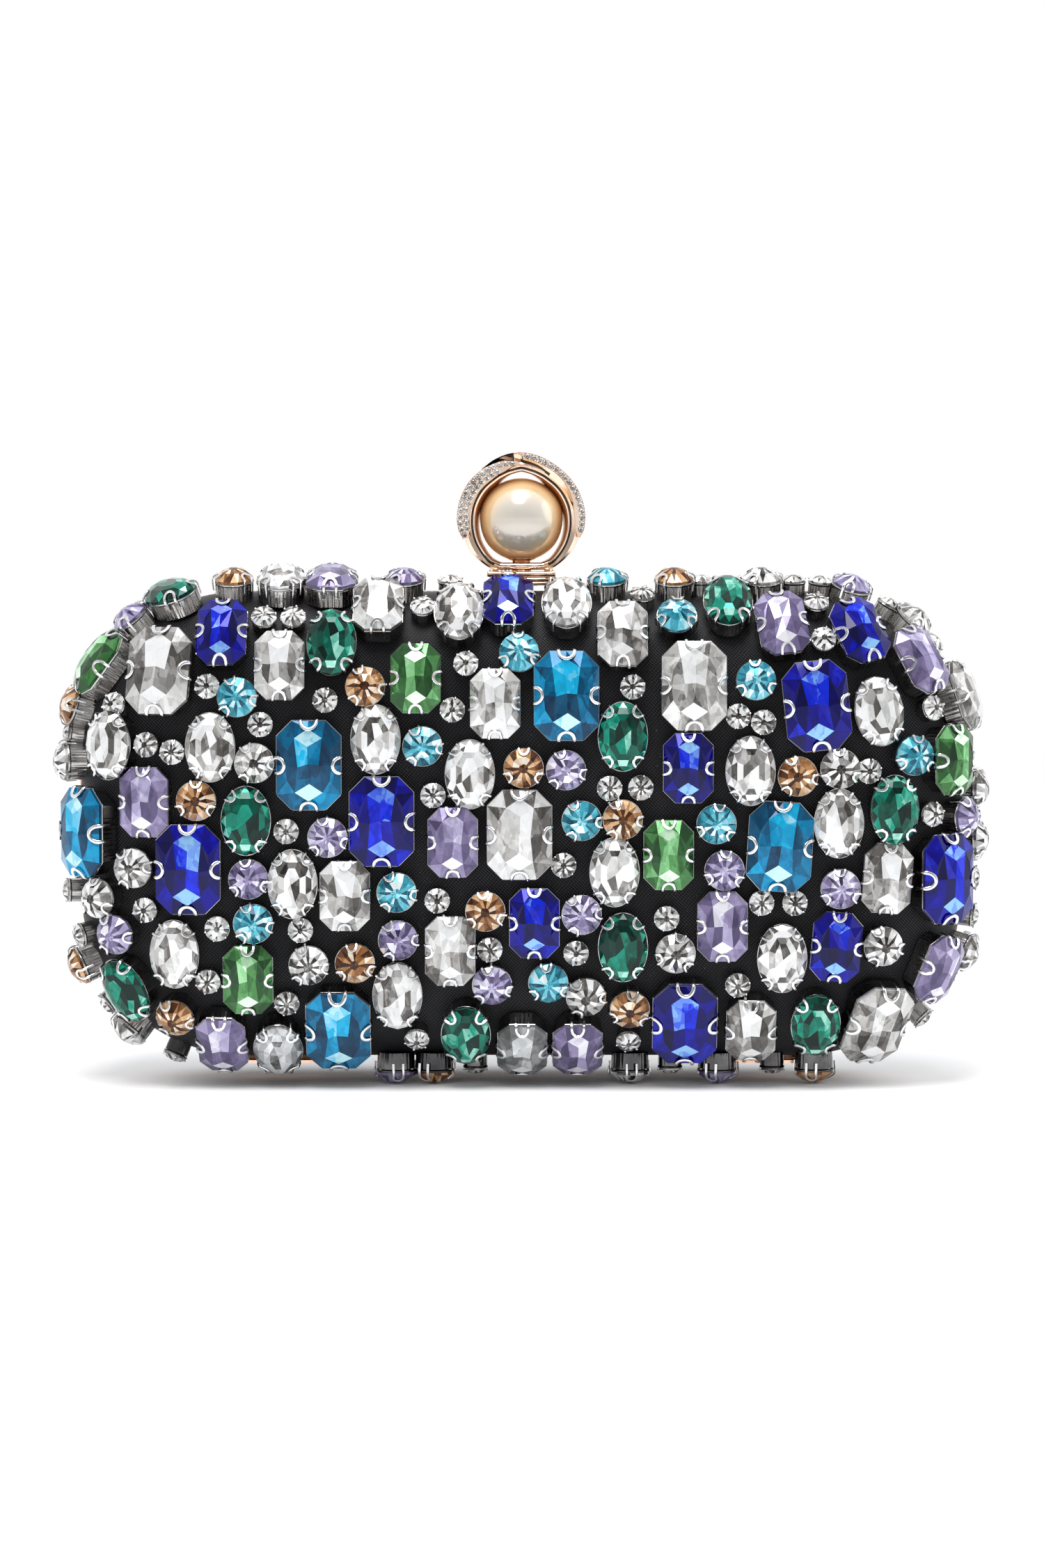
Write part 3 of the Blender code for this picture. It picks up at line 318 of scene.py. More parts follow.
def threads(tree, pitch, turn):
    """Even ridges across the sheet as it lay before it was drawn over its shell, a pitch apart."""
    place = object_place(tree, turn=(0.0, turn, 0.0), attribute="laid_flat")
    scale = 2.0 * math.pi / (20.0 * pitch)
    return add_node(tree, "TexWave", {"Scale": scale, "Distortion": 0.3, "Vector": place}).outputs["Fac"]


def ramp(tree, value, stops):
    """A colour ramp of (place, colour) stops."""
    node = add_node(tree, "ValToRGB", {"Fac": value})
    elements = node.color_ramp.elements
    while len(elements) < len(stops):
        elements.new(0.5)
    for element, (place, colour) in zip(elements, stops):
        element.position = place
        element.color = (*colour, 1.0)
    return node.outputs["Color"]


def spread(tree, value, low, high, start=0.0, end=1.0):
    """A value's range from start to end, stretched to run from low to high."""
    inputs = {"Value": value, "From Min": start, "From Max": end, "To Min": low, "To Max": high}
    return add_node(tree, "MapRange", inputs).outputs[0]


def bump(tree, shader, height, distance, strength=1.0):
    inputs = {"Strength": strength, "Distance": distance, "Height": height}
    feed(shader, {"Normal": add_node(tree, "Bump", inputs).outputs[0]})


def satin_material():
    """Black satin: diagonal twill broken by the weft, its fine lines painted pale as sheen that comes and
    goes, and some lint.
    """
    material, tree, shader = new_material("black_satin")
    twill = threads(tree, 0.46 * MM, 47.0)
    weft = threads(tree, 0.62 * MM, -40.0)
    # The twill's lines: raised in the bump, and painted pale in the colour as sheen
    lines = math_node(tree, "MULTIPLY", math_node(tree, "POWER", twill, 2.0), spread(tree, weft, 0.45, 1.0))
    lie = noise(tree, 55.0)
    # Painted sheen: the pale lines come and go in patches
    shown = math_node(tree, "MULTIPLY", lines, spread(tree, lie, 0.6, 1.0, 0.35, 0.65))
    stops = ((0.0, (0.0025, 0.0025, 0.003)), (0.3, (0.007, 0.007, 0.009)), (1.0, (0.095, 0.098, 0.108)))
    lint = spread(tree, noise(tree, 2600.0, 1.0), 0.0, 1.0, 0.75, 0.80)
    tones = {"Factor": lint, "A": ramp(tree, shown, stops), "B": (0.12, 0.12, 0.13, 1.0)}
    feed(shader, {
        "Base Color": add_node(tree, "Mix", tones, data_type="RGBA").outputs["Result"],
        "Roughness": spread(tree, lie, 0.42, 0.58),
        "Specular IOR Level": 0.2,
        "Sheen Weight": 0.02,
        "Sheen Roughness": 0.35,
    })
    puckers = noise(tree, 240.0, 2.0)
    height = math_node(tree, "ADD", math_node(tree, "MULTIPLY", lines, 0.15), puckers)
    bump(tree, shader, height, 0.2 * MM, 0.6)
    return material


def suede_material():
    """Dark suede: short nap that lies in patches."""
    material, tree, shader = new_material("lining")
    patches = math_node(tree, "MULTIPLY", noise(tree, 45.0, 4.0), 0.7)
    nap = noise(tree, 2400.0, 2.0)
    blend = math_node(tree, "ADD", patches, math_node(tree, "MULTIPLY", nap, 0.3))
    stops = ((0.3, (0.010, 0.010, 0.013)), (0.55, (0.022, 0.022, 0.027)), (0.75, (0.042, 0.041, 0.047)))
    colour = ramp(tree, blend, stops)
    feed(shader, {"Base Color": colour, "Roughness": spread(tree, nap, 0.8, 0.97), "Sheen Weight": 0.4})
    bump(tree, shader, nap, 0.12 * MM)
    return material


def board_material():
    """Pressed fibre board of the shells."""
    material, tree, shader = new_material("shell_board")
    fibres = noise(tree, 900.0, 5.0, object_place(tree, (1.0, 1.0, 3.0)))
    stops = ((0.3, (0.030, 0.029, 0.031)), (0.6, (0.055, 0.054, 0.058)), (0.8, (0.10, 0.098, 0.10)))
    feed(shader, {"Base Color": ramp(tree, fibres, stops), "Roughness": spread(tree, fibres, 0.55, 0.75)})
    bump(tree, shader, fibres, 0.1 * MM)
    return material


def metal_material(name, dark, body, bright, roughness, depth):
    """Plated metal: cloudy polish, hairline scratches and a slight change of tone."""
    material, tree, shader = new_material(name)
    hairlines = noise(tree, 900.0, 2.0, object_place(tree, (1.0, 1.0, 9.0), (0.0, 25.0, 0.0)))
    feed(shader, {
        "Base Color": ramp(tree, noise(tree, 160.0), ((0.25, dark), (0.5, body), (0.8, bright))),
        "Metallic": 1.0,
        "Roughness": spread(tree, hairlines, roughness * 0.6, roughness * 1.5),
    })
    bump(tree, shader, hairlines, depth, 0.5)
    return material


def crystal_material(hue):
    """Foil-backed glass: each facet's tone of painted reflection, broken up by painted glints for the cuts
    seen through it.
    """
    material, tree, shader = new_material(f"crystal_{hue}")
    # Painted glints: angular shards of brighter and darker tone
    sparkle = 0.27 if hue in ("clear", "smoke") else 0.18
    value = add_node(tree, "Attribute", attribute_name="tone").outputs["Fac"]
    for scale, strength in ((330.0, sparkle), (800.0, sparkle * 0.6)):
        place = object_place(tree, (1.0, 1.0, 0.7), (20.0, 30.0, 10.0))
        shards = add_node(tree, "TexVoronoi", {"Vector": place, "Scale": scale}, distance="MANHATTAN")
        chance = add_node(tree, "SeparateColor", {0: shards.outputs["Color"]}).outputs[0]
        glint = math_node(tree, "MULTIPLY", math_node(tree, "SUBTRACT", chance, 0.5), strength)
        value = math_node(tree, "ADD", value, glint)
    feed(shader, {
        "Base Color": ramp(tree, value, list(zip(TONE_STOPS, CRYSTAL_RAMPS[hue]))),
        "Roughness": spread(tree, noise(tree, 700.0), 0.04, 0.12),
        "Metallic": 0.35,
        "Specular IOR Level": 0.2,
        "Coat Weight": 0.35,
        "Coat Roughness": 0.02,
    })
    return material


def pearl_material():
    """Golden nacre with a paler painted reflection over its face and back, faint bands, soft depths and a
    clear coat.
    """
    material, tree, shader = new_material("pearl")
    layers = noise(tree, 70.0, 4.0, object_place(tree, (1.0, 1.0, 4.0)))
    # Painted reflection: the colour turns paler towards the pearl's front and back
    across = add_node(tree, "SeparateXYZ", {0: object_place(tree)}).outputs["Y"]
    forward = math_node(tree, "ABSOLUTE", math_node(tree, "SUBTRACT", across, CENTRE.y))
    share = math_node(tree, "DIVIDE", forward, PEARL_RADIUS)
    face = math_node(tree, "ADD", share, spread(tree, layers, -0.08, 0.08))
    feed(shader, {
        "Base Color": ramp(tree, face, NACRE_AND_REFLECTION_STOPS),
        "Roughness": spread(tree, layers, 0.14, 0.24),
        "Metallic": 0.3,
        "Subsurface Weight": 0.15,
        "Subsurface Radius": (0.002, 0.001, 0.0006),
        "Subsurface Scale": 1.0,
        "Sheen Weight": 0.25,
        "Sheen Tint": (1.0, 0.62, 0.32, 1.0),
        "Coat Weight": 1.0,
        "Coat Roughness": 0.06,
    })
    bump(tree, shader, noise(tree, 300.0, 2.0), 0.02 * MM, 0.4)
    return material


LOOKS = {
    "black_satin": satin_material(),
    "lining": suede_material(),
    "shell_board": board_material(),
    "pearl": pearl_material(),
}
LOOKS.update({metal: metal_material(metal, *values) for metal, values in METALS.items()})
LOOKS.update({hue: crystal_material(hue) for hue in CRYSTAL_RAMPS})

# Pieces


def add_piece(name, shape, looks, body, slot, replaced=(), smooth_angle=None):
    """A piece made in the case's coordinates, set down in the frame and riding on a body."""
    bmesh.ops.recalc_face_normals(shape, faces=shape.faces)
    shape.transform(Matrix.Translation(CENTRE))
    mesh = bpy.data.meshes.new(name)
    shape.to_mesh(mesh)
    shape.free()
    for look in looks:
        mesh.materials.append(LOOKS[look])
    piece = bpy.data.objects.new(name, mesh)
    SCENE.collection.objects.link(piece)
    if smooth_angle is not None:
        mesh.shade_smooth()
        mesh.set_sharp_from_angle(angle=math.radians(smooth_angle))
    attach(piece, body)
    if replaced:
        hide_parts(*replaced)
    return piece


def sweep(shape, sections, closed=False, capped=False, look=lambda column, place: 0):
    """A skin over sections with equal counts of points, closed, capped or open; look picks its materials."""
    rings = [[shape.verts.new(point) for point in section] for section in sections]
    for column, low in enumerate(rings if closed else rings[:-1]):
        high = rings[(column + 1) % len(rings)]
        for place in range(len(low)):
            after = (place + 1) % len(low)
            face = shape.faces.new((low[place], low[after], high[after], high[place]))
            face.material_index = look(column, place)
    if capped:
        shape.faces.new(rings[0][::-1])
        shape.faces.new(rings[-1])
    return rings


def heading(angle):
    """The way out at an angle in degrees from the right, turning up."""
    turn = math.radians(angle)
    return Vector((math.cos(turn), math.sin(turn)))


def held(value, low=0.0, high=1.0):
    """A value kept between two bounds."""
    return max(low, min(high, value))


STRIP_SECTION = ((1.0, 0.0), (0.65, 1.0), (-0.65, 1.0), (-1.0, 0.0), (-0.65, -1.0), (0.65, -1.0))


def strip(shape, points, faces, half_width, half_depth):
    """A flat band of metal along points, each given with the way its broad face looks."""
    sections = []
    last = len(points) - 1
    for i, (point, face) in enumerate(zip(points, faces)):
        ahead = (points[min(i + 1, last)] - points[max(i - 1, 0)]).normalized()
        side = ahead.cross(face).normalized() * half_width
        up = side.cross(ahead).normalized() * half_depth
        sections.append([point + side * across + up * deep for across, deep in STRIP_SECTION])
    sweep(shape, sections, capped=True)


# A grain's twelve points and twenty faces
GOLDEN = (1.0 + math.sqrt(5.0)) / 2.0
GRAIN_POINTS = [
    Vector(point).normalized()
    for a in (-1.0, 1.0)
    for b in (-GOLDEN, GOLDEN)
    for point in ((0.0, a, b), (a, b, 0.0), (b, 0.0, a))
]
GRAIN_EDGE = 1.06
GRAIN_FACES = [
    (i, j, k)
    for i in range(12)
    for j in range(i + 1, 12)
    for k in range(j + 1, 12)
    if all((GRAIN_POINTS[a] - GRAIN_POINTS[b]).length < GRAIN_EDGE for a, b in ((i, j), (j, k), (i, k)))
]


def bead(shape, place, radius):
    """A small grain of metal."""
    verts = [shape.verts.new(place + point * radius) for point in GRAIN_POINTS]
    for corners in GRAIN_FACES:
        shape.faces.new([verts[corner] for corner in corners])


# The case's skins and rims


def rim_samples(spacing):
    """Points round the rim's rounded rectangle at about even spacing, each with the way out from it."""
    middle = Vector((HALF_WIDTH - CORNER_RADIUS, HALF_HEIGHT - CORNER_RADIUS))
    corners = [middle * Vector(signs) for signs in ((1, 1), (-1, 1), (-1, -1), (1, -1))]
    arc_steps = round(CORNER_RADIUS * math.pi / 2.0 / spacing)
    samples = []
    for number, corner in enumerate(corners):
        for step in range(arc_steps):
            out = heading(90.0 * (number + step / arc_steps))
            samples.append((corner + out * CORNER_RADIUS, out))
        out = heading(90.0 * (number + 1))
        start = corner + out * CORNER_RADIUS
        end = corners[(number + 1) % 4] + out * CORNER_RADIUS
        line_steps = round((end - start).length / spacing)
        samples += [(start.lerp(end, step / line_steps), out) for step in range(line_steps)]
    return samples


def at_rim(sample, inset, y):
    point, out = sample
    place = point - out * inset
    return Vector((place.x, y, place.y))


def shoulder_share(depth_share):
    return (1.0 - depth_share**SHOULDER_POWER) ** (1.0 / SHOULDER_POWER)


def wall_inset(depth_share, layer):
    """Inset from the rim outline of the skin that lies layer under the satin's face."""
    return layer + (SHOULDER - layer) * (1.0 - shoulder_share(depth_share))


def skin(name, side, layer, rim_depth, hem, looks, body, slot, replaced):
    """A thin sheet drawn over the inside or outside of one half, with a rolled hem at the rim."""
    depth = HALF_DEPTH - layer - (BOARD_BULGE if layer else 0.0)
    rim_inset = wall_inset(rim_depth / depth, layer)
    profile = []
    for step in range(HEM_STEPS):
        turn = heading(90.0 * step / HEM_STEPS)
        profile.append(Vector((rim_inset + hem * (1.0 - turn.y), rim_depth + hem * (1.0 - turn.x))))
    first = (rim_depth + hem) / depth
    for step in range(WALL_STEPS + 1):
        share = min(1.0, first + (1.0 - first) * heading(90.0 * step / WALL_STEPS).y)
        profile.append(Vector((wall_inset(share, layer), share * depth)))
    samples = rim_samples(SKIN_SPACING)
    shape = bmesh.new()
    laid_flat = shape.verts.layers.float_vector.new("laid_flat")
    rings = sweep(shape, [[at_rim(sample, inset, side * y) for sample in samples] for inset, y in profile])
    shape.faces.new(rings[-1])
    flat_inset = profile[-1].x
    for number in range(len(profile) - 1, -1, -1):
        if number + 1 < len(profile):
            flat_inset -= (profile[number + 1] - profile[number]).length
        for vert, sample in zip(rings[number], samples):
            vert[laid_flat] = at_rim(sample, flat_inset, 0.0)
    bmesh.ops.remove_doubles(shape, verts=shape.verts, dist=0.002 * MM)
    piece = add_piece(name, shape, looks, body, slot, replaced, 40.0)


BEAD_RADIUS = 0.58 * MM
RIM_BEAD_INSET = 0.2 * MM
RIM_PROUD = 0.35 * MM
RIM_TOP_DROP = 0.45 * MM
BEAD_PITCH = 1.25 * MM
BEAD_TWIST = 0.13 * MM
RIM_SPACING = 0.31 * MM
HINGE_X = 49.0 * MM
HINGE_REACH = 8.6 * MM
HINGE_ROOM = 1.7 * MM


def milled_rim(name, side, body, replaced):
    """The frame round one half, with a twisted bead beside the seam and a polished step behind it."""
    hinge = Vector((0.0, -(RIM_TOP + 0.1 * MM)))
    bead_y = GAP / 2.0 + BEAD_RADIUS
    groove = 2.0 * BEAD_RADIUS + GAP / 2.0
    columns = []
    for number, sample in enumerate(rim_samples(RIM_SPACING)):
        # The satin stands above the rim along the top
        drop = RIM_TOP_DROP * max(0.0, sample[1].y)
        face = drop - RIM_PROUD
        section = [(LIP_INSET, GAP / 2.0), (drop + 0.3 * MM, GAP / 2.0)]
        for step in range(9):
            around = heading(-90.0 + 180.0 * step / 8)
            twist = math.sin(2.0 * math.pi * (number * RIM_SPACING / BEAD_PITCH + step / 8.0))
            reach = BEAD_RADIUS + BEAD_TWIST * twist
            section.append((RIM_BEAD_INSET + drop - reach * around.x, bead_y + BEAD_RADIUS * around.y))
        section += [
            (drop + 0.15 * MM, groove + 0.05 * MM),
            (face + 0.10 * MM, groove + 0.25 * MM),
            (face, groove + 0.45 * MM),
            (face, FLANGE_DEPTH - 0.25 * MM),
            (face + 0.25 * MM, FLANGE_DEPTH),
            (FLANGE_INSET, FLANGE_DEPTH),
            (FLANGE_INSET, LIP_DEPTH),
            (LIP_INSET, LIP_DEPTH),
        ]
        column = []
        for inset, y in section:
            place = at_rim(sample, inset, side * y)
            away = Vector((place.y, place.z)) - hinge
            if abs(abs(place.x) - HINGE_X) < HINGE_REACH and 0.0 < away.length < HINGE_ROOM:
                away *= HINGE_ROOM / away.length
                place = Vector((place.x, hinge.x + away.x, hinge.y + away.y))
            column.append(place)
        columns.append(column)
    shape = bmesh.new()
    sweep(shape, columns, closed=True)
    add_piece(name, shape, ("rose_gold",), body, "rose_gold", replaced, 35.0)


# Crystals and their settings


def front_seat(x, z, depth=None):
    """A point on the front satin and the way it faces, above x, z or, given a depth, out towards them."""
    limit_x, limit_z = HALF_WIDTH - CORNER_RADIUS, HALF_HEIGHT - CORNER_RADIUS
    near = Vector((held(x, -limit_x, limit_x), held(z, -limit_z, limit_z)))
    out = Vector((x, z)) - near
    reach = out.length
    if reach > 0.0:
        out /= reach
    share = max(0.0, (SHOULDER - CORNER_RADIUS + reach) / SHOULDER)
    if depth is None and share > shoulder_share(EDGE_STONE_DEPTH / HALF_DEPTH):
        depth = EDGE_STONE_DEPTH
    if depth is None:
        depth_share = shoulder_share(share)
    else:
        depth_share = depth / HALF_DEPTH
        share = shoulder_share(depth_share)
        reach = CORNER_RADIUS - wall_inset(depth_share, 0.0)
    if share == 0.0:
        return Vector((x, -HALF_DEPTH, z)), Vector((0.0, -1.0, 0.0))
    point = Vector((near.x + out.x * reach, -depth_share * HALF_DEPTH, near.y + out.y * reach))
    outward = share ** (SHOULDER_POWER - 1.0) / SHOULDER
    forward = depth_share ** (SHOULDER_POWER - 1.0) / HALF_DEPTH
    return point, Vector((out.x * outward, -forward, out.y * outward)).normalized()


def seat_frame(point, facing, angle=0.0):
    up = Vector((0.0, 0.0, 1.0)) - facing * facing.z
    if up.length < 0.1:
        up = Vector((0.0, -1.0, 0.0)) - facing * -facing.y
    up.normalize()
    right = up.cross(facing)
    turned = Matrix((right, up, facing)).transposed().to_4x4()
    return Matrix.Translation(point) @ turned @ Matrix.Rotation(-math.radians(angle), 4, "Z")


def stone_seats():
    """Every crystal's kind, hue and frame on the satin."""
    for (kind, hue), places in FACE_STONE_SHARES.items():
        for x, z, *lean in places:
            yield kind, hue, seat_frame(*front_seat(x * HALF_WIDTH, z * HALF_HEIGHT), *lean)
    for (kind, hue), places in EDGE_STONE_SHARES.items():
        depth = SMALL_EDGE_STONE_DEPTH if kind == "small_round" else EDGE_STONE_DEPTH
        for x, z, *lean in places:
            yield kind, hue, seat_frame(*front_seat(x * HALF_WIDTH, z * HALF_HEIGHT, depth), *lean)
    for (kind, hue), places in FOOT_STONE_SHARES.items():
        for x in places:
            point, _ = front_seat(x * HALF_WIDTH, -HALF_HEIGHT, FOOT_DEPTH)
            yield kind, hue, seat_frame(point, Vector((0.0, 0.0, -1.0)))


def ring_points(cut, inset, count, turn=0.0, share=CRYSTAL_SHARE):
    """The crystal's outline drawn in by inset: eight corners, or count points round an ellipse."""
    half_width = cut.width / 2.0 * share - inset
    half_length = cut.length / 2.0 * share - inset
    if cut.corner:
        corner = max(0.3 * MM, cut.corner * share - 0.586 * inset)
        short, long = half_width - corner, half_length - corner
        points = [(half_width, long), (short, half_length), (-short, half_length), (-half_width, long)]
        return points + [(-x, -y) for x, y in points]
    turns = [heading(360.0 * (step + turn) / count) for step in range(count)]
    return [(half_width * out.x, half_length * out.y) for out in turns]


CONTRAST = 1.15


class Gem:
    """Adds one faceted crystal's faces to a shape, each with its own tone of painted reflection."""

    def __init__(self, shape, matrix, contrast=CONTRAST):
        self.shape = shape
        self.contrast = contrast
        self.tone = shape.faces.layers.float.get("tone") or shape.faces.layers.float.new("tone")
        self.matrix = matrix

    def point(self, x, y, height):
        return self.shape.verts.new(self.matrix @ Vector((x, y, height)))

    def ring(self, points, height):
        return [self.point(x, y, height) for x, y in points]

    def facet(self, corners, tone, scatter=0.12):
        face = self.shape.faces.new(corners)
        tone = 0.5 + (tone - 0.5 + CHANCE.uniform(-scatter, scatter)) * self.contrast
        face[self.tone] = held(tone)

    def band(self, low, high, tone, scatter=0.2):
        for i in range(len(low)):
            j = (i + 1) % len(low)
            self.facet((low[i], low[j], high[j], high[i]), tone, scatter)


# An emerald-cut crown's points: shares of the half width and half length, and of the crown's rise
CROWN_SHARES = {
    "top_tip": (0.02, 0.83, 0.50), "top_left": (-0.42, 0.62, 0.74), "top_right": (0.44, 0.62, 0.74),
    "top_low": (0.03, 0.43, 0.96), "low_tip": (0.0, -0.80, 0.52), "low_left": (-0.44, -0.60, 0.76),
    "low_right": (0.42, -0.60, 0.76), "low_up": (-0.03, -0.40, 0.96), "left_up": (-0.66, 0.34, 0.70),
    "left_mid": (-0.72, 0.0, 0.68), "left_low": (-0.66, -0.34, 0.70), "right_up": (0.66, 0.34, 0.70),
    "right_mid": (0.72, 0.0, 0.68), "right_low": (0.66, -0.34, 0.70), "in_left": (-0.32, 0.02, 1.0),
    "in_right": (0.34, -0.03, 1.0), "middle": (0.02, 0.04, 1.0), "rim_top": (0.0, 1.0, 0.0),
    "rim_low": (0.0, -1.0, 0.0), "rim_left": (-1.0, 0.0, 0.0), "rim_right": (1.0, 0.0, 0.0),
}
# Its facets: the points round each, g0 to g7 being the girdle's corners, its tone of painted reflection and
# how far that strays
CROWN_FACETS = (
    ("top_tip top_left top_low top_right", 0.80, 0.12),
    ("low_tip low_right low_up low_left", 0.97, 0.04),
    ("top_left in_left middle top_low", 0.62, 0.20),
    ("top_low middle in_right top_right", 0.72, 0.16),
    ("in_left low_left low_up middle", 0.32, 0.20),
    ("middle low_up low_right in_right", 0.46, 0.24),
    ("top_left left_up left_mid in_left", 0.22, 0.16),
    ("in_left left_mid left_low low_left", 0.28, 0.16),
    ("top_right in_right right_mid right_up", 0.26, 0.16),
    ("in_right low_right right_low right_mid", 0.20, 0.16),
    ("g1 rim_top top_tip top_right", 0.40, 0.22),
    ("rim_top g2 top_left top_tip", 0.34, 0.22),
    ("g0 g1 top_right", 0.42, 0.20),
    ("g0 top_right right_up", 0.36, 0.18),
    ("g2 g3 top_left", 0.38, 0.20),
    ("g3 left_up top_left", 0.34, 0.18),
    ("g0 right_up right_mid rim_right", 0.34, 0.16),
    ("rim_right right_mid right_low g7", 0.40, 0.16),
    ("g3 rim_left left_mid left_up", 0.38, 0.16),
    ("rim_left g4 left_low left_mid", 0.32, 0.16),
    ("g7 right_low low_right", 0.40, 0.18),
    ("g7 low_right g6", 0.40, 0.18),
    ("g4 low_left left_low", 0.44, 0.18),
    ("g4 g5 low_left", 0.38, 0.18),
    ("g6 low_right low_tip rim_low", 0.46, 0.18),
    ("rim_low low_tip low_left g5", 0.40, 0.18),
)


def add_octagon(gem, cut, brighter):
    """An emerald-cut crystal with painted reflections: lit lozenges at its ends, dark lenses at its sides and
    a quartered middle.
    """
    foot = gem.ring(ring_points(cut, 0.15 * MM, 8), SETTING_HEIGHT - 0.2 * MM)
    girdle = gem.ring(ring_points(cut, 0.0, 8), GIRDLE)
    gem.facet(foot[::-1], 0.1)
    gem.band(foot, girdle, 0.45)
    half_width, half_length = cut.width / 2.0 * CRYSTAL_SHARE, cut.length / 2.0 * CRYSTAL_SHARE
    rise = SETTING_HEIGHT + CROWN_HEIGHT - GIRDLE
    mirror = CHANCE.choice((-1.0, 1.0))
    order = range(8) if mirror > 0.0 else (3, 2, 1, 0, 7, 6, 5, 4)
    points = {f"g{number}": girdle[corner] for number, corner in enumerate(order)}
    for name, (x, y, height) in CROWN_SHARES.items():
        shift = CHANCE.uniform(-0.03, 0.03) if height == 1.0 else 0.0
        points[name] = gem.point(mirror * (x + shift) * half_width, y * half_length, GIRDLE + height * rise)
    for corners, tone, scatter in CROWN_FACETS:
        gem.facet([points[name] for name in corners.split()], tone + brighter * (1.0 - tone), scatter)


def add_oval(gem, cut, brighter):
    """An oval crystal with painted reflections: small kites round the girdle and a chequered middle."""
    half = cut.width / 2.0 * CRYSTAL_SHARE
    rise = SETTING_HEIGHT + CROWN_HEIGHT - GIRDLE
    foot = gem.ring(ring_points(cut, 0.1 * MM, 16), SETTING_HEIGHT - 0.2 * MM)
    girdle = gem.ring(ring_points(cut, 0.0, 16), GIRDLE)
    outer = gem.ring(ring_points(cut, half * 0.20, 16, 0.5), GIRDLE + 0.45 * rise)
    kites = gem.ring(ring_points(cut, half * 0.40, 8, 0.5), GIRDLE + 0.80 * rise)
    inner = gem.ring(ring_points(cut, half * 0.66, 8, 0.5), GIRDLE + 0.97 * rise)
    centre = gem.point(CHANCE.uniform(-0.3, 0.3) * MM, CHANCE.uniform(-0.4, 0.4) * MM, GIRDLE + rise)
    gem.facet(foot[::-1], 0.1)
    gem.band(foot, girdle, 0.5)
    for i in range(16):
        j = (i + 1) % 16
        gem.facet((girdle[i], girdle[j], outer[i]), 0.45 + brighter * 0.4, 0.3)
        gem.facet((outer[i - 1], girdle[i], outer[i]), 0.55 + brighter * 0.4, 0.3)
    for i in range(8):
        j = (i + 1) % 8
        # Painted highlight: the kite at the foot of the crystal is painted near white, as the lamp's
        # reflection
        lit, scatter = (0.98, 0.02) if i == 5 else (0.45 + brighter * 0.5, 0.3)
        gem.facet((outer[2 * i], outer[2 * i + 1], kites[i]), 0.5 + brighter * 0.3, 0.3)
        gem.facet((kites[i], outer[2 * i + 1], outer[(2 * i + 2) % 16], kites[j]), lit, scatter)
        gem.facet((kites[i], kites[j], inner[j], inner[i]), 0.50 + brighter * 0.4, 0.35)
    tones = [0.22, 0.62, 0.78, 0.48]
    CHANCE.shuffle(tones)
    for i, tone in zip(range(0, 8, 2), tones):
        corners = (inner[i], inner[i + 1], inner[(i + 2) % 8], centre)
        gem.facet(corners, tone + brighter * 0.35, 0.12)


def uneven(points, amount):
    return [(x + CHANCE.uniform(-amount, amount), y + CHANCE.uniform(-amount, amount)) for x, y in points]


def add_round(gem, cut, levels, dark_heart):
    """A round crystal with painted reflections: uneven rays from its middle, darts round its edge, a heart
    that may be painted dark, and at times a painted highlight.
    """
    seat, girdle_z, edge_z, table_z, centre_z = levels
    half = cut.width / 2.0 * CRYSTAL_SHARE
    foot = gem.ring(ring_points(cut, half * 0.03, 16), seat)
    girdle = gem.ring(ring_points(cut, 0.0, 16), girdle_z)
    table = gem.ring(uneven(ring_points(cut, half * 0.42, 16, 0.5), half * 0.05), edge_z)
    heart = gem.ring(uneven(ring_points(cut, half * 0.76, 16, 0.5), half * 0.035), table_z)
    # Painted highlight: in some crystals a run of up to three facets round the middle is painted near white,
    # as a lamp's reflection
    lit = range(CHANCE.randrange(0, 14), 16) if CHANCE.random() < 0.45 else ()
    centre = gem.point(0.0, 0.0, centre_z)
    gem.facet(foot[::-1], 0.1)
    gem.band(foot, girdle, 0.5)
    for i in range(16):
        j = (i + 1) % 16
        ray = 0.5 + 0.20 * (-1) ** i
        gem.facet((girdle[i], girdle[j], table[i]), 0.56, 0.32)
        gem.facet((table[i - 1], girdle[i], table[i]), 1.0 - ray, 0.28)
        gem.facet((table[i], table[j], heart[j], heart[i]), 0.95 if i in lit[:3] else ray, 0.26)
        gem.facet((heart[i], heart[j], centre), 0.18 if dark_heart else 0.6, 0.2)


ROUND_LEVELS = tuple(SETTING_HEIGHT + height * MM for height in (-0.2, 0.6, 2.0, 2.5, 2.6))
SMALL_LEVELS = tuple(SMALL_HEIGHT + height * MM for height in (-1.4, -0.9, -0.2, 0.0, 0.05))
PAVE_LEVELS = tuple(height * MM for height in (-0.1, 0.1, 0.4, 0.52, 0.56))
FLUTE_SPACING = 0.24 * MM
FLUTE_DEPTH = 0.06 * MM
# The lip's points: shares of the setting's height, and how far they stand out from its outline
LIP_SECTION = (
    (0.88, -0.10 * MM), (0.91, 0.05 * MM), (0.97, 0.09 * MM), (1.02, 0.02 * MM), (1.02, -0.15 * MM),
    (0.94, -0.30 * MM),
)


def cup_outline(cut):
    """Closely spaced points round the setting's outline, each with the way out from it."""
    if cut.corner:
        corners = [Vector(point) for point in ring_points(cut, 0.0, 8, share=1.0)]
        points = []
        for i, corner in enumerate(corners):
            after = corners[(i + 1) % 8]
            steps = max(2, round((after - corner).length / FLUTE_SPACING))
            points += [corner.lerp(after, step / steps) for step in range(steps)]
    else:
        count = round(math.pi * (cut.width + cut.length) / 2.0 / FLUTE_SPACING)
        points = [Vector(point) for point in ring_points(cut, 0.0, count - count % 4, share=1.0)]
    outline = []
    for i, point in enumerate(points):
        along = points[(i + 1) % len(points)] - points[i - 1]
        outline.append((point, Vector((along.y, -along.x)).normalized()))
    return outline


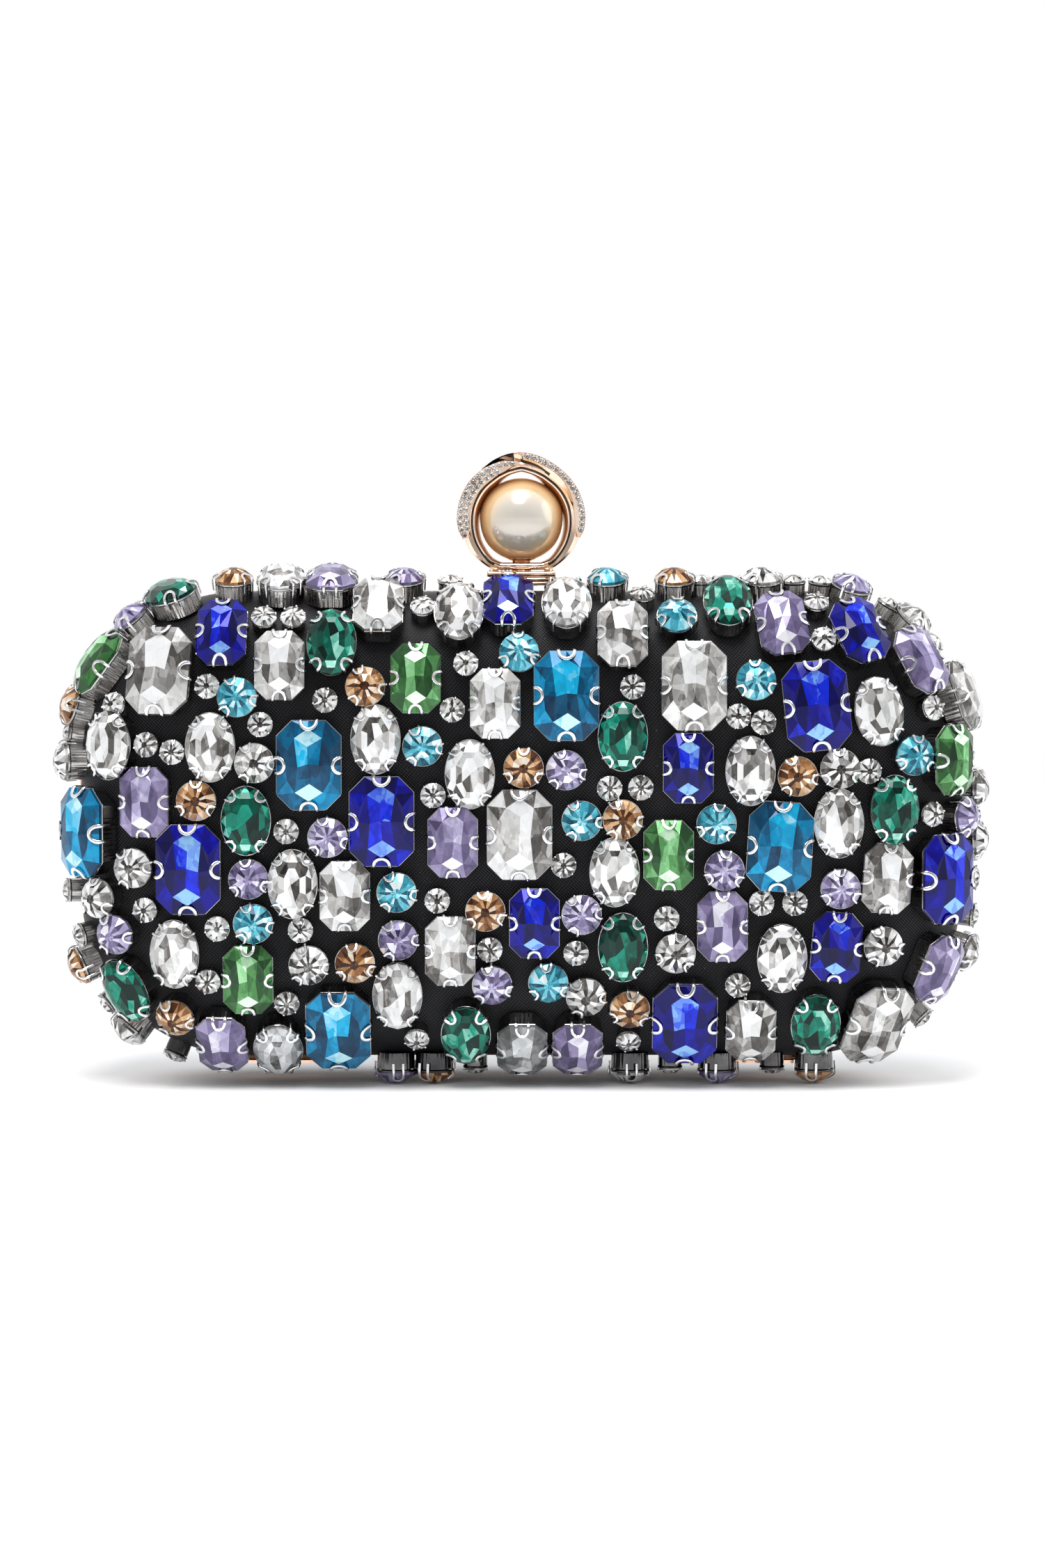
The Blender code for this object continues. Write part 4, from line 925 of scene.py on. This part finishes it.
def add_cup(shape, matrix, cut, height):
    """A setting: a fluted wall and a thin rolled lip under the crystal, with painted shade where it faces
    down.
    """
    # Painted shade for the settings that face the floor
    dark = 1 if matrix.col[2].z < -0.9 else 0
    outline = cup_outline(cut)
    wall = []
    for rise, flute_share in ((0.0, 1.0), (0.45, 1.0), (0.86, 0.4)):
        share = SETTING_FOOT_SHARE + (SETTING_TOP_SHARE - SETTING_FOOT_SHARE) * rise
        level = (height + EMBED) * rise - EMBED
        section = []
        for number, (point, out) in enumerate(outline):
            flute = FLUTE_DEPTH * math.cos(math.pi * number / 2.0) * flute_share
            section.append(matrix @ Vector((*(point * share + out * flute), level)))
        wall.append(section)
    lip = []
    for share, out_by in LIP_SECTION:
        level = height * share
        lip.append([matrix @ Vector((*(point + out * out_by), level)) for point, out in outline[::2]])
    for sections in (wall, lip):
        sweep(shape, sections, look=lambda column, place: dark)


def add_prong(shape, matrix, place, out, half_width, reach, half_strip):
    """A half ring of flat wire that holds a crystal: legs up the setting and a bow over the crown."""
    along = Vector((-out.y, out.x))
    low = SETTING_HEIGHT / MM
    turn_only = matrix.to_3x3()
    leg_face = turn_only @ out.to_3d()
    bow_face = turn_only @ (out.to_3d() * 0.5 + Vector((0.0, 0.0, 1.0))).normalized()
    path = [
        (half_width, 0.12, low - 1.8, leg_face),
        (half_width, 0.22, low - 0.5, leg_face),
        (half_width, 0.28, low + 0.45, leg_face.lerp(bow_face, 0.4)),
    ]
    for step in range(7):
        turn = heading(15.0 * step)
        # The bow follows the crown up from the girdle
        inward = reach * turn.y
        path.append((half_width * turn.x, 0.05 - inward, low + 1.0 + 0.70 * inward, bow_face))
    path += [(-side, out_by, height, face) for side, out_by, height, face in reversed(path[:-1])]
    points = []
    for side, out_by, height, _ in path:
        flat = place + along * side * MM + out * out_by * MM
        points.append(matrix @ Vector((*flat, height * MM)))
    strip(shape, points, [face for _, _, _, face in path], half_strip * MM, LOOP_HALF_DEPTH)


def prong_places(cut):
    """Where a setting's loops stand: mid-sides of an octagon, diagonals of an oval, three on a round."""
    half_width, half_length = cut.width / 2.0, cut.length / 2.0
    if cut.corner:
        ways = [Vector(way) for way in ((0.0, 1.0), (0.0, -1.0), (1.0, 0.0), (-1.0, 0.0))]
        return [(Vector((half_width * way.x, half_length * way.y)), way) for way in ways]
    turn = CHANCE.uniform(-25.0, 25.0)
    angles = (48, 132, 228, 312) if cut.length > cut.width else (100 + turn, 220 + turn, 340 + turn)
    places = []
    for way in map(heading, angles):
        out = Vector((way.x / half_width, way.y / half_length)).normalized()
        places.append((Vector((half_width * way.x, half_length * way.y)), out))
    return places


# Half width, reach over the crystal and half the strip's width of each kind's loops, in millimetres
LOOP_SIZES = {
    "large_octagon": (1.60, 1.70, 0.36), "octagon": (1.25, 1.50, 0.32), "oval": (1.15, 1.35, 0.30),
    "round": (1.0, 1.2, 0.28),
}
LOOP_HALF_DEPTH = 0.14 * MM
SMALL_CUP_HEIGHT = SMALL_HEIGHT - 1.3 * MM
GRAIN_LEVEL = SMALL_HEIGHT - 0.75 * MM
GRAIN_RADIUS = 0.30 * MM
GRAINS = 6
# The hues whose facets differ more in tone than others', and those whose facets are all brighter
HUE_CONTRAST = {"clear": 1.45}
HUE_LIFT = {"clear": 0.22, "violet": 0.08}
HUE_SLOTS = {"smoke": "crystal_clear", "emerald": "jewelled_satin", "aqua": "jewelled_satin"}


def add_stones():
    """The crystals, a piece to each hue, and their settings and loops."""
    gems = {hue: bmesh.new() for hue in CRYSTAL_RAMPS}
    cups = bmesh.new()
    loops = bmesh.new()
    for kind, hue, matrix in stone_seats():
        cut = CUTS[kind]
        gem = Gem(gems[hue], matrix, HUE_CONTRAST.get(hue, CONTRAST))
        if kind == "small_round":
            add_round(gem, cut, SMALL_LEVELS, True)
            add_cup(cups, matrix, cut, SMALL_CUP_HEIGHT)
            for step in range(GRAINS):
                place = heading(360.0 / GRAINS * step + 15.0) * (cut.width / 2.0 * 0.97)
                bead(loops, matrix @ Vector((*place, GRAIN_LEVEL)), GRAIN_RADIUS)
            continue
        brighter = HUE_LIFT.get(hue, 0.0)
        if cut.corner:
            add_octagon(gem, cut, brighter)
        elif kind == "oval":
            add_oval(gem, cut, brighter)
        else:
            add_round(gem, cut, ROUND_LEVELS, hue in ("amber", "clear"))
        add_cup(cups, matrix, cut, SETTING_HEIGHT)
        for place, out in prong_places(cut):
            add_prong(loops, matrix, place, out, *LOOP_SIZES[kind])
    for hue, shape in gems.items():
        slot = HUE_SLOTS.get(hue, f"crystal_{hue}")
        add_piece(f"crystals_{hue}", shape, (hue,), "front_half", slot, crystal_nodes(hue))
    # The second look is the gunmetal darkened as painted shade
    looks = ("gunmetal", "shaded_gunmetal")
    add_piece("crystal_settings", cups, looks, "front_half", "jewelled_satin", ("front_cover",), 40.0)
    add_piece("setting_loops", loops, ("silver",), "front_half", "jewelled_satin", ("front_cover",), 50.0)


# The numbers, first to last, of the CAD crystals of each hue; the other hues are part of the cover
CRYSTAL_NUMBERS = {
    "clear": (("large", 1, 4), ("medium", 1, 9), ("foot", 3, 3)),
    "cobalt": (("large", 5, 9), ("medium", 10, 15)),
    "turquoise": (("large", 10, 14),),
    "peridot": (("medium", 16, 16),),
    "amber": (("foot", 1, 2),),
    "violet": (("foot", 4, 5),),
}


def crystal_nodes(hue):
    """The CAD crystals of a hue, or the cover that has them in its solid."""
    names = []
    for size, first, last in CRYSTAL_NUMBERS.get(hue, ()):
        names += [f"crystal_{size}_{number:02d}" for number in range(first, last + 1)]
    return names or ["front_cover"]


# Clasp


# The ring's edges and the bands over it, read off the photograph at angles in degrees, in millimetres
RING_EDGES = (
    # angle, rear edge of the hole, front edge of the hole, outer edge; the left side mirrors the right
    (-90.0, 9.0, 9.0, 10.2), (-62.0, 9.7, 9.9, 11.55), (-54.0, 9.75, 10.1, 11.9), (-35.0, 9.25, 9.75, 12.25),
    (-13.0, 8.8, 9.5, 12.2), (2.0, 8.5, 9.4, 11.7), (14.0, 8.0, 9.4, 11.35), (30.0, 7.9, 9.35, 11.2),
    (54.0, 7.95, 9.3, 11.25), (66.0, 8.9, 9.45, 11.4), (78.0, 9.45, 9.65, 11.6), (90.0, 9.75, 9.95, 11.9),
)
LEFT_BAND = (
    # angle, inner edge, inner edge of the crystals, outer edge, as in the right band
    (91.0, 11.4, 11.5, 11.8), (97.0, 10.8, 11.1, 12.2), (110.0, 10.2, 10.4, 12.7), (128.0, 9.95, 10.15, 13.0),
    (147.0, 10.2, 10.35, 13.2), (165.0, 10.4, 10.5, 13.2), (180.0, 10.5, 10.6, 13.15),
    (190.0, 10.5, 10.7, 13.0), (198.0, 10.7, 11.3, 12.5),
)
RIGHT_BAND = (
    (-17.0, 11.4, 12.0, 12.5), (-9.0, 10.9, 11.1, 12.95), (8.0, 10.7, 10.9, 13.1), (30.0, 10.6, 11.4, 13.1),
    (50.0, 10.3, 11.8, 13.1), (62.0, 10.6, 11.9, 13.2), (75.0, 11.3, 12.2, 13.5), (86.0, 11.7, 12.5, 13.7),
    (93.0, 11.9, 13.5, 13.75), (101.0, 12.3, 13.5, 13.7), (114.0, 12.75, 13.3, 13.45),
    (128.0, 12.95, 13.0, 13.05),
)
# Painted shade on the right band: all over its front past this angle, and in its bevel between these two, in
# degrees
BRIDGE_ANGLE = 96.0
SHADED_BEVEL = (58.0, 90.0)
RING_STEPS = 288
# How far below the pearl's middle the ring's three edges are cut flat, in millimetres
RING_FLATS = (8.8, 8.9, 10.2)
MILL_DEPTH = 0.05
# The groove's depth, and how far down the ring its painted shade reaches, as a share of the ring's radius
GROOVE_CUT = 0.55
GROOVE_SHADE_END = 0.85
BAND_STEP = 1.5
# The tiny crystals: rows in from the band's outer edge and places along a row, in millimetres
PAVE_ROWS = 3
PAVE_EDGE = 0.70
PAVE_ROW_PITCH = 1.18
PAVE_PITCH = 1.28
PAVE_ROOM = 0.45
PAVE_FRONT = -4.68
PAVE_GRAIN_FRONT = -4.86
PAVE_GRAIN_ASIDE = 0.42
PAVE_GRAIN_RADIUS = 0.19 * MM
PAVE_CUT = Cut(1.22 * MM, 1.22 * MM, 0.0)
# Degrees left bare at both ends of a row, and more at the start of every second row
PAVE_MARGIN = 1.5
PAVE_STAGGER = 3.0


def reading(table, angle):
    """A table's row at an angle between two of its own."""
    for low, high in zip(table, table[1:]):
        if angle <= high[0]:
            break
    share = held((angle - low[0]) / (high[0] - low[0]))
    share = share * share * (3.0 - 2.0 * share) * 0.35 + share * 0.65
    return [first + (second - first) * share for first, second in zip(low[1:], high[1:])]


def round_pearl(angle, reach, y):
    """A point at a reach and angle round the pearl, in millimetres and degrees."""
    out = heading(angle) * reach * MM
    return Vector((out.x, y * MM, PEARL_Z + out.y))


def add_ring():
    """The polished ring: a hole that narrows to the rear, a milled band, a groove with painted shade and
    round flanks.
    """
    columns = []
    for step in range(RING_STEPS):
        angle = 360.0 * step / RING_STEPS - 90.0
        rear, inner, outer = reading(RING_EDGES, 90.0 - abs(angle - 90.0))
        rise = -heading(angle).y
        if rise > 0.3:
            edges = zip((rear, inner, outer), RING_FLATS)
            rear, inner, outer = [min(edge, flat / rise) for edge, flat in edges]
        mill = MILL_DEPTH if step % 2 else -MILL_DEPTH
        groove = min(inner + 0.5, outer - 0.5)
        middle = (groove + 0.35 + outer) / 2.0
        back = (outer + rear) / 2.0
        # The groove runs out towards the flat of the ring
        floor = GROOVE_CUT * held((1.0 - rise) * 1.6 / 0.35) - 3.95
        columns.append([round_pearl(angle, reach, y) for reach, y in (
            (rear, 3.7), (inner - 0.12, -3.4), (inner + mill, -3.6), (inner + 0.08, -3.9),
            (inner + 0.28, -4.0), (groove - 0.08, -3.95), (groove, floor), (groove + 0.25, floor),
            (groove + 0.35, -3.95), (middle, -4.3), ((middle + outer * 2.0) / 3.0, -4.1), (outer, -3.3),
            (outer, 3.3), (outer - 0.3, 3.8), (back + 0.4, 4.1), (back, 3.95), (back - 0.4, 4.1),
            (rear + 0.3, 3.95),
        )])

    def look(column, place):
        """The hole's wall is matt gold, the groove painted with shade and the rest polished."""
        if place == 0:
            return 2
        rise = -heading(360.0 * (column + 0.5) / RING_STEPS - 90.0).y
        return 1 if place in (5, 6, 7) and rise < GROOVE_SHADE_END else 0

    shape = bmesh.new()
    sweep(shape, columns, closed=True, look=look)
    looks = ("pink_gold", "shaded_gold", "inner_gold")
    add_piece("ring_body", shape, looks, "clasp", "rose_gold", ("pearl_ring",), 32.0)


def jewelled_band(name, table, replaced):
    """A band over the ring: a polished bevel, then a channel with rows of tiny crystals along its edge."""
    start, end = table[0][0], table[-1][0]
    steps = round((end - start) / BAND_STEP)
    on_right = table is RIGHT_BAND
    sections = []
    for step in range(steps + 1):
        angle = start + (end - start) * step / steps
        low, crystals, high = reading(table, angle)
        back_off = 0.5 * held((angle - 92.0) / 20.0) if on_right else 0.0
        split = low + (crystals - low) * 0.45
        sections.append([round_pearl(angle, reach, y + back_off * (y < 0.0)) for reach, y in (
            (low, 3.9), (low, -4.05), (low + 0.05, -4.25), (split, -4.55), (crystals - 0.1, -4.9),
            (crystals, -4.7), (high - 0.15, -4.7), (high - 0.06, -4.85), (high, -4.6), (high, 3.9),
            (high - 0.35, 4.4), (low + 0.4, 4.5), (low + 0.05, 4.2),
        )])

    def look(column, place):
        """The right band has painted shade in its bevel's shaded stretch and all over its front past its
        crystals.
        """
        angle = start + (end - start) * (column + 0.5) / steps
        bridging = angle > BRIDGE_ANGLE and place in range(1, 8)
        shaded = SHADED_BEVEL[0] < angle < SHADED_BEVEL[1] and place in (1, 2)
        return 1 if on_right and (bridging or shaded) else 0

    shape = bmesh.new()
    sweep(shape, sections, capped=True, look=look)
    add_piece(name, shape, ("pink_gold", "shaded_gold"), "clasp", "rose_gold", replaced, 30.0)
    stones = bmesh.new()
    grains = bmesh.new()
    for row in range(PAVE_ROWS):
        angle = start + PAVE_MARGIN + PAVE_STAGGER * (row % 2)
        while angle < end - PAVE_MARGIN:
            _, crystals, outer = reading(table, angle)
            reach = outer - PAVE_EDGE - PAVE_ROW_PITCH * row
            if reach - PAVE_ROOM >= crystals:
                centre = round_pearl(angle, reach, PAVE_FRONT)
                seat = seat_frame(centre, Vector((0.0, -1.0, 0.0)), CHANCE.uniform(0.0, 40.0))
                add_round(Gem(stones, seat), PAVE_CUT, PAVE_LEVELS, True)
                between = angle + math.degrees(PAVE_PITCH / 2.0 / reach)
                for side in (-PAVE_GRAIN_ASIDE, PAVE_GRAIN_ASIDE):
                    bead(grains, round_pearl(between, reach + side, PAVE_GRAIN_FRONT), PAVE_GRAIN_RADIUS)
            angle += math.degrees(PAVE_PITCH / reach)
    add_piece(f"{name}_pave", stones, ("clear",), "clasp", "crystal_clear", replaced)
    add_piece(f"{name}_grains", grains, ("pink_gold",), "clasp", "rose_gold", replaced, 50.0)


# The cup under the pearl: each ring's height from the pearl's middle and its reach, in millimetres
PEARL_CUP = (
    (-8.9, 1.5), (-8.75, 1.75), (-8.4, 1.8), (-8.15, 2.5), (-7.95, 2.9), (-7.8, 2.85), (-8.0, 2.3),
)


def add_pearl():
    """The pearl, slightly out of round, on a small fluted cup over its post."""
    shape = bmesh.new()
    bmesh.ops.create_uvsphere(shape, u_segments=96, v_segments=64, radius=PEARL_RADIUS)
    for vert in shape.verts:
        way = vert.co.normalized()
        swell = 0.04 * math.sin(3.0 * way.x + 1.0) * math.cos(4.0 * way.z)
        swell += 0.03 * math.sin(7.0 * way.z + 2.0 * way.y)
        vert.co += way * swell * MM + Vector((0.0, 0.0, PEARL_Z))
    add_piece("nacre_pearl", shape, ("pearl",), "clasp", "pearl", ("pearl",), 60.0)
    sections = []
    for height, reach in PEARL_CUP:
        section = []
        for step in range(48):
            flute = 1.04 if step // 2 % 2 else 1.0
            section.append((*(heading(7.5 * step) * reach * flute * MM), PEARL_Z + height * MM))
        sections.append(section)
    cup = bmesh.new()
    rings = sweep(cup, sections)
    cup.faces.new(rings[0][::-1])
    add_piece("pearl_cup", cup, ("pink_gold",), "clasp", "rose_gold", (), 40.0)


# The neck's two mouldings: half width, then each point's distance forward and height over the rim's top
NECK_MOULDINGS = (
    (5.6, ((3.9, 0.6), (4.62, 0.6), (4.80, 0.72), (4.86, 0.92), (4.80, 1.12), (4.64, 1.22), (4.64, 1.36),
           (4.86, 1.48), (4.94, 1.72), (4.86, 1.96), (4.64, 2.08), (4.64, 2.16), (3.9, 2.16))),
    (6.95, ((4.4, 2.26), (4.66, 2.26), (4.84, 2.36), (4.96, 2.62), (4.98, 2.90), (4.84, 3.16), (4.64, 3.26),
            (4.4, 3.26))),
)
# Faces that stand in nearer than this, in millimetres, are the grooves, given painted shade
NECK_GROOVE_REACH = 4.7
NECK_STEPS = 40


def add_neck():
    """The banded front of the neck under the ring, with rounded ends and painted shade in its grooves."""
    shape = bmesh.new()
    for half_width, profile in NECK_MOULDINGS:
        root = profile[0][0]
        sections = []
        for step in range(NECK_STEPS + 1):
            turn = heading(180.0 * step / NECK_STEPS)
            swell = turn.y**0.2 if 0 < step < NECK_STEPS else 0.3
            sections.append([
                (-half_width * turn.x * MM, -(root + (reach - root) * swell) * MM, RIM_TOP + height * MM)
                for reach, height in profile
            ])
        reaches = [reach for reach, _ in profile]
        edges = [max(pair) for pair in zip(reaches, reaches[1:] + reaches[:1])]
        # Painted shade in the grooves
        dark = [1 if reach < NECK_GROOVE_REACH else 0 for reach in edges]
        sweep(shape, sections, capped=True, look=lambda column, place: dark[place])
    add_piece("clasp_neck", shape, ("rose_gold", "shaded_gold"), "clasp", "rose_gold", (), 50.0)


def add_clasp():
    add_ring()
    add_neck()
    add_pearl()
    jewelled_band("left_band", LEFT_BAND, ("ring_wrap_left",))
    jewelled_band("right_band", RIGHT_BAND, ("ring_wrap_right",))


# Stage

PHOTO_WIDTH, PHOTO_HEIGHT = 1500, 2253
BODY_CENTRE_PX = (749.0, 1181.5)
PX_PER_METRE = 6990.0
CAMERA_DISTANCE = 0.9
CAMERA_ELEVATION = 4.5
SENSOR = 36.0


def aim_camera():
    """The photograph's camera: the case's centre lies where the photograph shows it."""
    focal_px = PX_PER_METRE * CAMERA_DISTANCE
    down = BODY_CENTRE_PX[1] - PHOTO_HEIGHT / 2.0
    right = BODY_CENTRE_PX[0] - PHOTO_WIDTH / 2.0
    elevation = math.radians(CAMERA_ELEVATION)
    away = Vector((0.0, -math.cos(elevation), math.sin(elevation)))
    data = bpy.data.cameras.new("photo_camera")
    data.sensor_width = SENSOR
    data.lens = focal_px * SENSOR / PHOTO_HEIGHT
    data.clip_start = 0.01
    camera = bpy.data.objects.new("photo_camera", data)
    SCENE.collection.objects.link(camera)
    camera.location = CENTRE + away * CAMERA_DISTANCE
    pitch = math.pi / 2.0 - elevation + math.atan(down / focal_px)
    camera.rotation_euler = (pitch, 0.0, math.atan(right / focal_px))
    SCENE.camera = camera


def softbox(name, place, size, power):
    """An area light that faces the clutch."""
    data = bpy.data.lights.new(name, "AREA")
    data.shape = "ELLIPSE"
    data.size, data.size_y = size
    data.energy = power
    lamp = bpy.data.objects.new(name, data)
    SCENE.collection.objects.link(lamp)
    lamp.location = Vector(place)
    lamp.rotation_euler = (CENTRE - lamp.location).to_track_quat("-Z", "Y").to_euler()


def mix_shaders(tree, share, first, second):
    return add_node(tree, "MixShader", {0: share, 1: first, 2: second}).outputs[0]


def seen_ray(tree):
    """1 for the rays that show the background: straight, mirrored or through glass."""
    path = add_node(tree, "LightPath").outputs
    either = math_node(tree, "MAXIMUM", path["Is Camera Ray"], path["Is Glossy Ray"])
    return math_node(tree, "MAXIMUM", either, path["Is Transmission Ray"])


# The lamps' places, sizes and power in metres and watts
LAMPS = {
    "key_softbox": ((-0.12, -0.62, 1.15), (0.55, 0.50), 6.5),
    "right_softbox": ((1.20, -0.05, 0.50), (0.9, 1.1), 2.0),
    "top_softbox": ((0.0, -0.20, 1.15), (0.6, 0.45), 5.0),
}


def light_studio():
    """Three soft lamps, a white backdrop, and behind the camera a dim room with a pale strip of wall."""
    for name, values in LAMPS.items():
        softbox(name, *values)
    world = bpy.data.worlds.new("white_studio")
    SCENE.world = world
    world.use_nodes = True
    tree = world.node_tree
    tree.nodes.clear()
    way = add_node(tree, "SeparateXYZ", {0: add_node(tree, "TexCoord").outputs["Generated"]}).outputs
    shade = spread(tree, way["Y"], 0.30, 1.0, -0.9, 0.1)
    height = math_node(tree, "ABSOLUTE", math_node(tree, "ADD", way["Z"], 0.10))
    wall = spread(tree, height, 0.85, 0.3, 0.14, 0.26)
    straight = add_node(tree, "LightPath").outputs["Is Camera Ray"]
    strength = math_node(tree, "MAXIMUM", math_node(tree, "MAXIMUM", shade, wall), straight)
    room = add_node(tree, "Background", {"Color": (0.94, 0.96, 1.0, 1.0), "Strength": 0.6}).outputs[0]
    backdrop = add_node(tree, "Background", {"Color": (1.0, 1.0, 1.0, 1.0), "Strength": strength}).outputs[0]
    add_node(tree, "OutputWorld", {"Surface": mix_shaders(tree, seen_ray(tree), room, backdrop)})


FLOOR_REACH = 2.0
FLOOR_FADE_START = 0.35
FLOOR_FADE_END = 1.1
FLOOR_GLOW = 0.41
NEAR_REACH = 0.24
SHADE_REACH = 0.025
SHADE_RANGE = (0.12, 0.42)
UNDER_REACH = 0.25
UNDER_RANGE = (0.97, 0.999)
FLOOR_DROP = 0.1 * MM


def openness(tree, reach, samples, below=False):
    """1 where nothing stands over the surface, or hangs below it, within a reach; 0 where it is shut in."""
    node = add_node(tree, "AmbientOcclusion", {"Distance": reach}, samples=samples, inside=below)
    return node.outputs["AO"]


def paper(tree, glow, cleared):
    """White paper with a glow of its own, and clear by a share."""
    matt = add_node(tree, "BsdfDiffuse", {"Color": (0.80, 0.80, 0.80, 1.0)}).outputs[0]
    light = add_node(tree, "Emission", {"Strength": glow}).outputs[0]
    both = add_node(tree, "AddShader", {0: matt, 1: light}).outputs[0]
    return mix_shaders(tree, cleared, both, add_node(tree, "BsdfTransparent").outputs[0])


def lay_floor():
    """A pale floor that fades into the white background, with a deep shade close under the clutch."""
    shape = bmesh.new()
    bmesh.ops.create_grid(shape, x_segments=1, y_segments=1, size=FLOOR_REACH)
    mesh = bpy.data.meshes.new("floor")
    shape.to_mesh(mesh)
    shape.free()
    floor = bpy.data.objects.new("floor", mesh)
    SCENE.collection.objects.link(floor)
    floor.location.z = -FLOOR_DROP
    material, tree, _ = new_material("floor")
    tree.nodes.clear()
    reach = add_node(tree, "VectorMath", {0: object_place(tree)}, operation="LENGTH").outputs["Value"]
    fade = spread(tree, reach, 0.0, 1.0, FLOOR_FADE_START, FLOOR_FADE_END)
    seen = seen_ray(tree)
    bare = spread(tree, openness(tree, SHADE_REACH, 8), 0.0, FLOOR_GLOW, *SHADE_RANGE)
    # Something that swings below the floor, like the opened front half, is seen through it
    cleared = spread(tree, openness(tree, UNDER_REACH, 32, True), 1.0, 0.0, *UNDER_RANGE)
    near = paper(tree, math_node(tree, "MULTIPLY", seen, bare), cleared)
    far = paper(tree, math_node(tree, "MULTIPLY", seen, FLOOR_GLOW), fade)
    distant = math_node(tree, "GREATER_THAN", reach, NEAR_REACH)
    add_node(tree, "OutputMaterial", {"Surface": mix_shaders(tree, distant, near, far)})
    mesh.materials.append(material)
    floor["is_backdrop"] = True


def dress_kept_nodes():
    """Better materials for the CAD nodes that stay."""
    for name, node in frame["nodes"].items():
        look = "rose_gold"
        if name.endswith("_shell"):
            look = "shell_board"
        elif name == "clasp_spring":
            look = "spring_steel"
        for slot in node.material_slots:
            slot.material = LOOKS[look]


aim_camera()
light_studio()
lay_floor()
dress_kept_nodes()
SATIN_HEM = 0.35 * MM
LINING_HEM = 0.25 * MM
LINING_LAYER = SATIN + GAP + SHELL + GAP + 0.2 * MM
for word, half_side in (("front", FRONT), ("back", BACK)):
    half = f"{word}_half"
    satin_slot = "black_satin" if word == "back" else "jewelled_satin"
    skin(
        f"{word}_satin", half_side, 0.0, FLANGE_DEPTH + GAP, SATIN_HEM, ("black_satin",), half,
        satin_slot, (f"{word}_cover",),
    )
    skin(
        f"{word}_suede", half_side, LINING_LAYER, LIP_DEPTH + GAP, LINING_HEM, ("lining",), half,
        "lining", (f"{word}_lining",),
    )
    milled_rim(f"{word}_rim", half_side, half, (f"{word}_frame",))
add_stones()
add_clasp()

boxes = {"cad": CAD_BOX, "visual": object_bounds()}
{name: [list(corner) for corner in corners] for name, corners in boxes.items()}
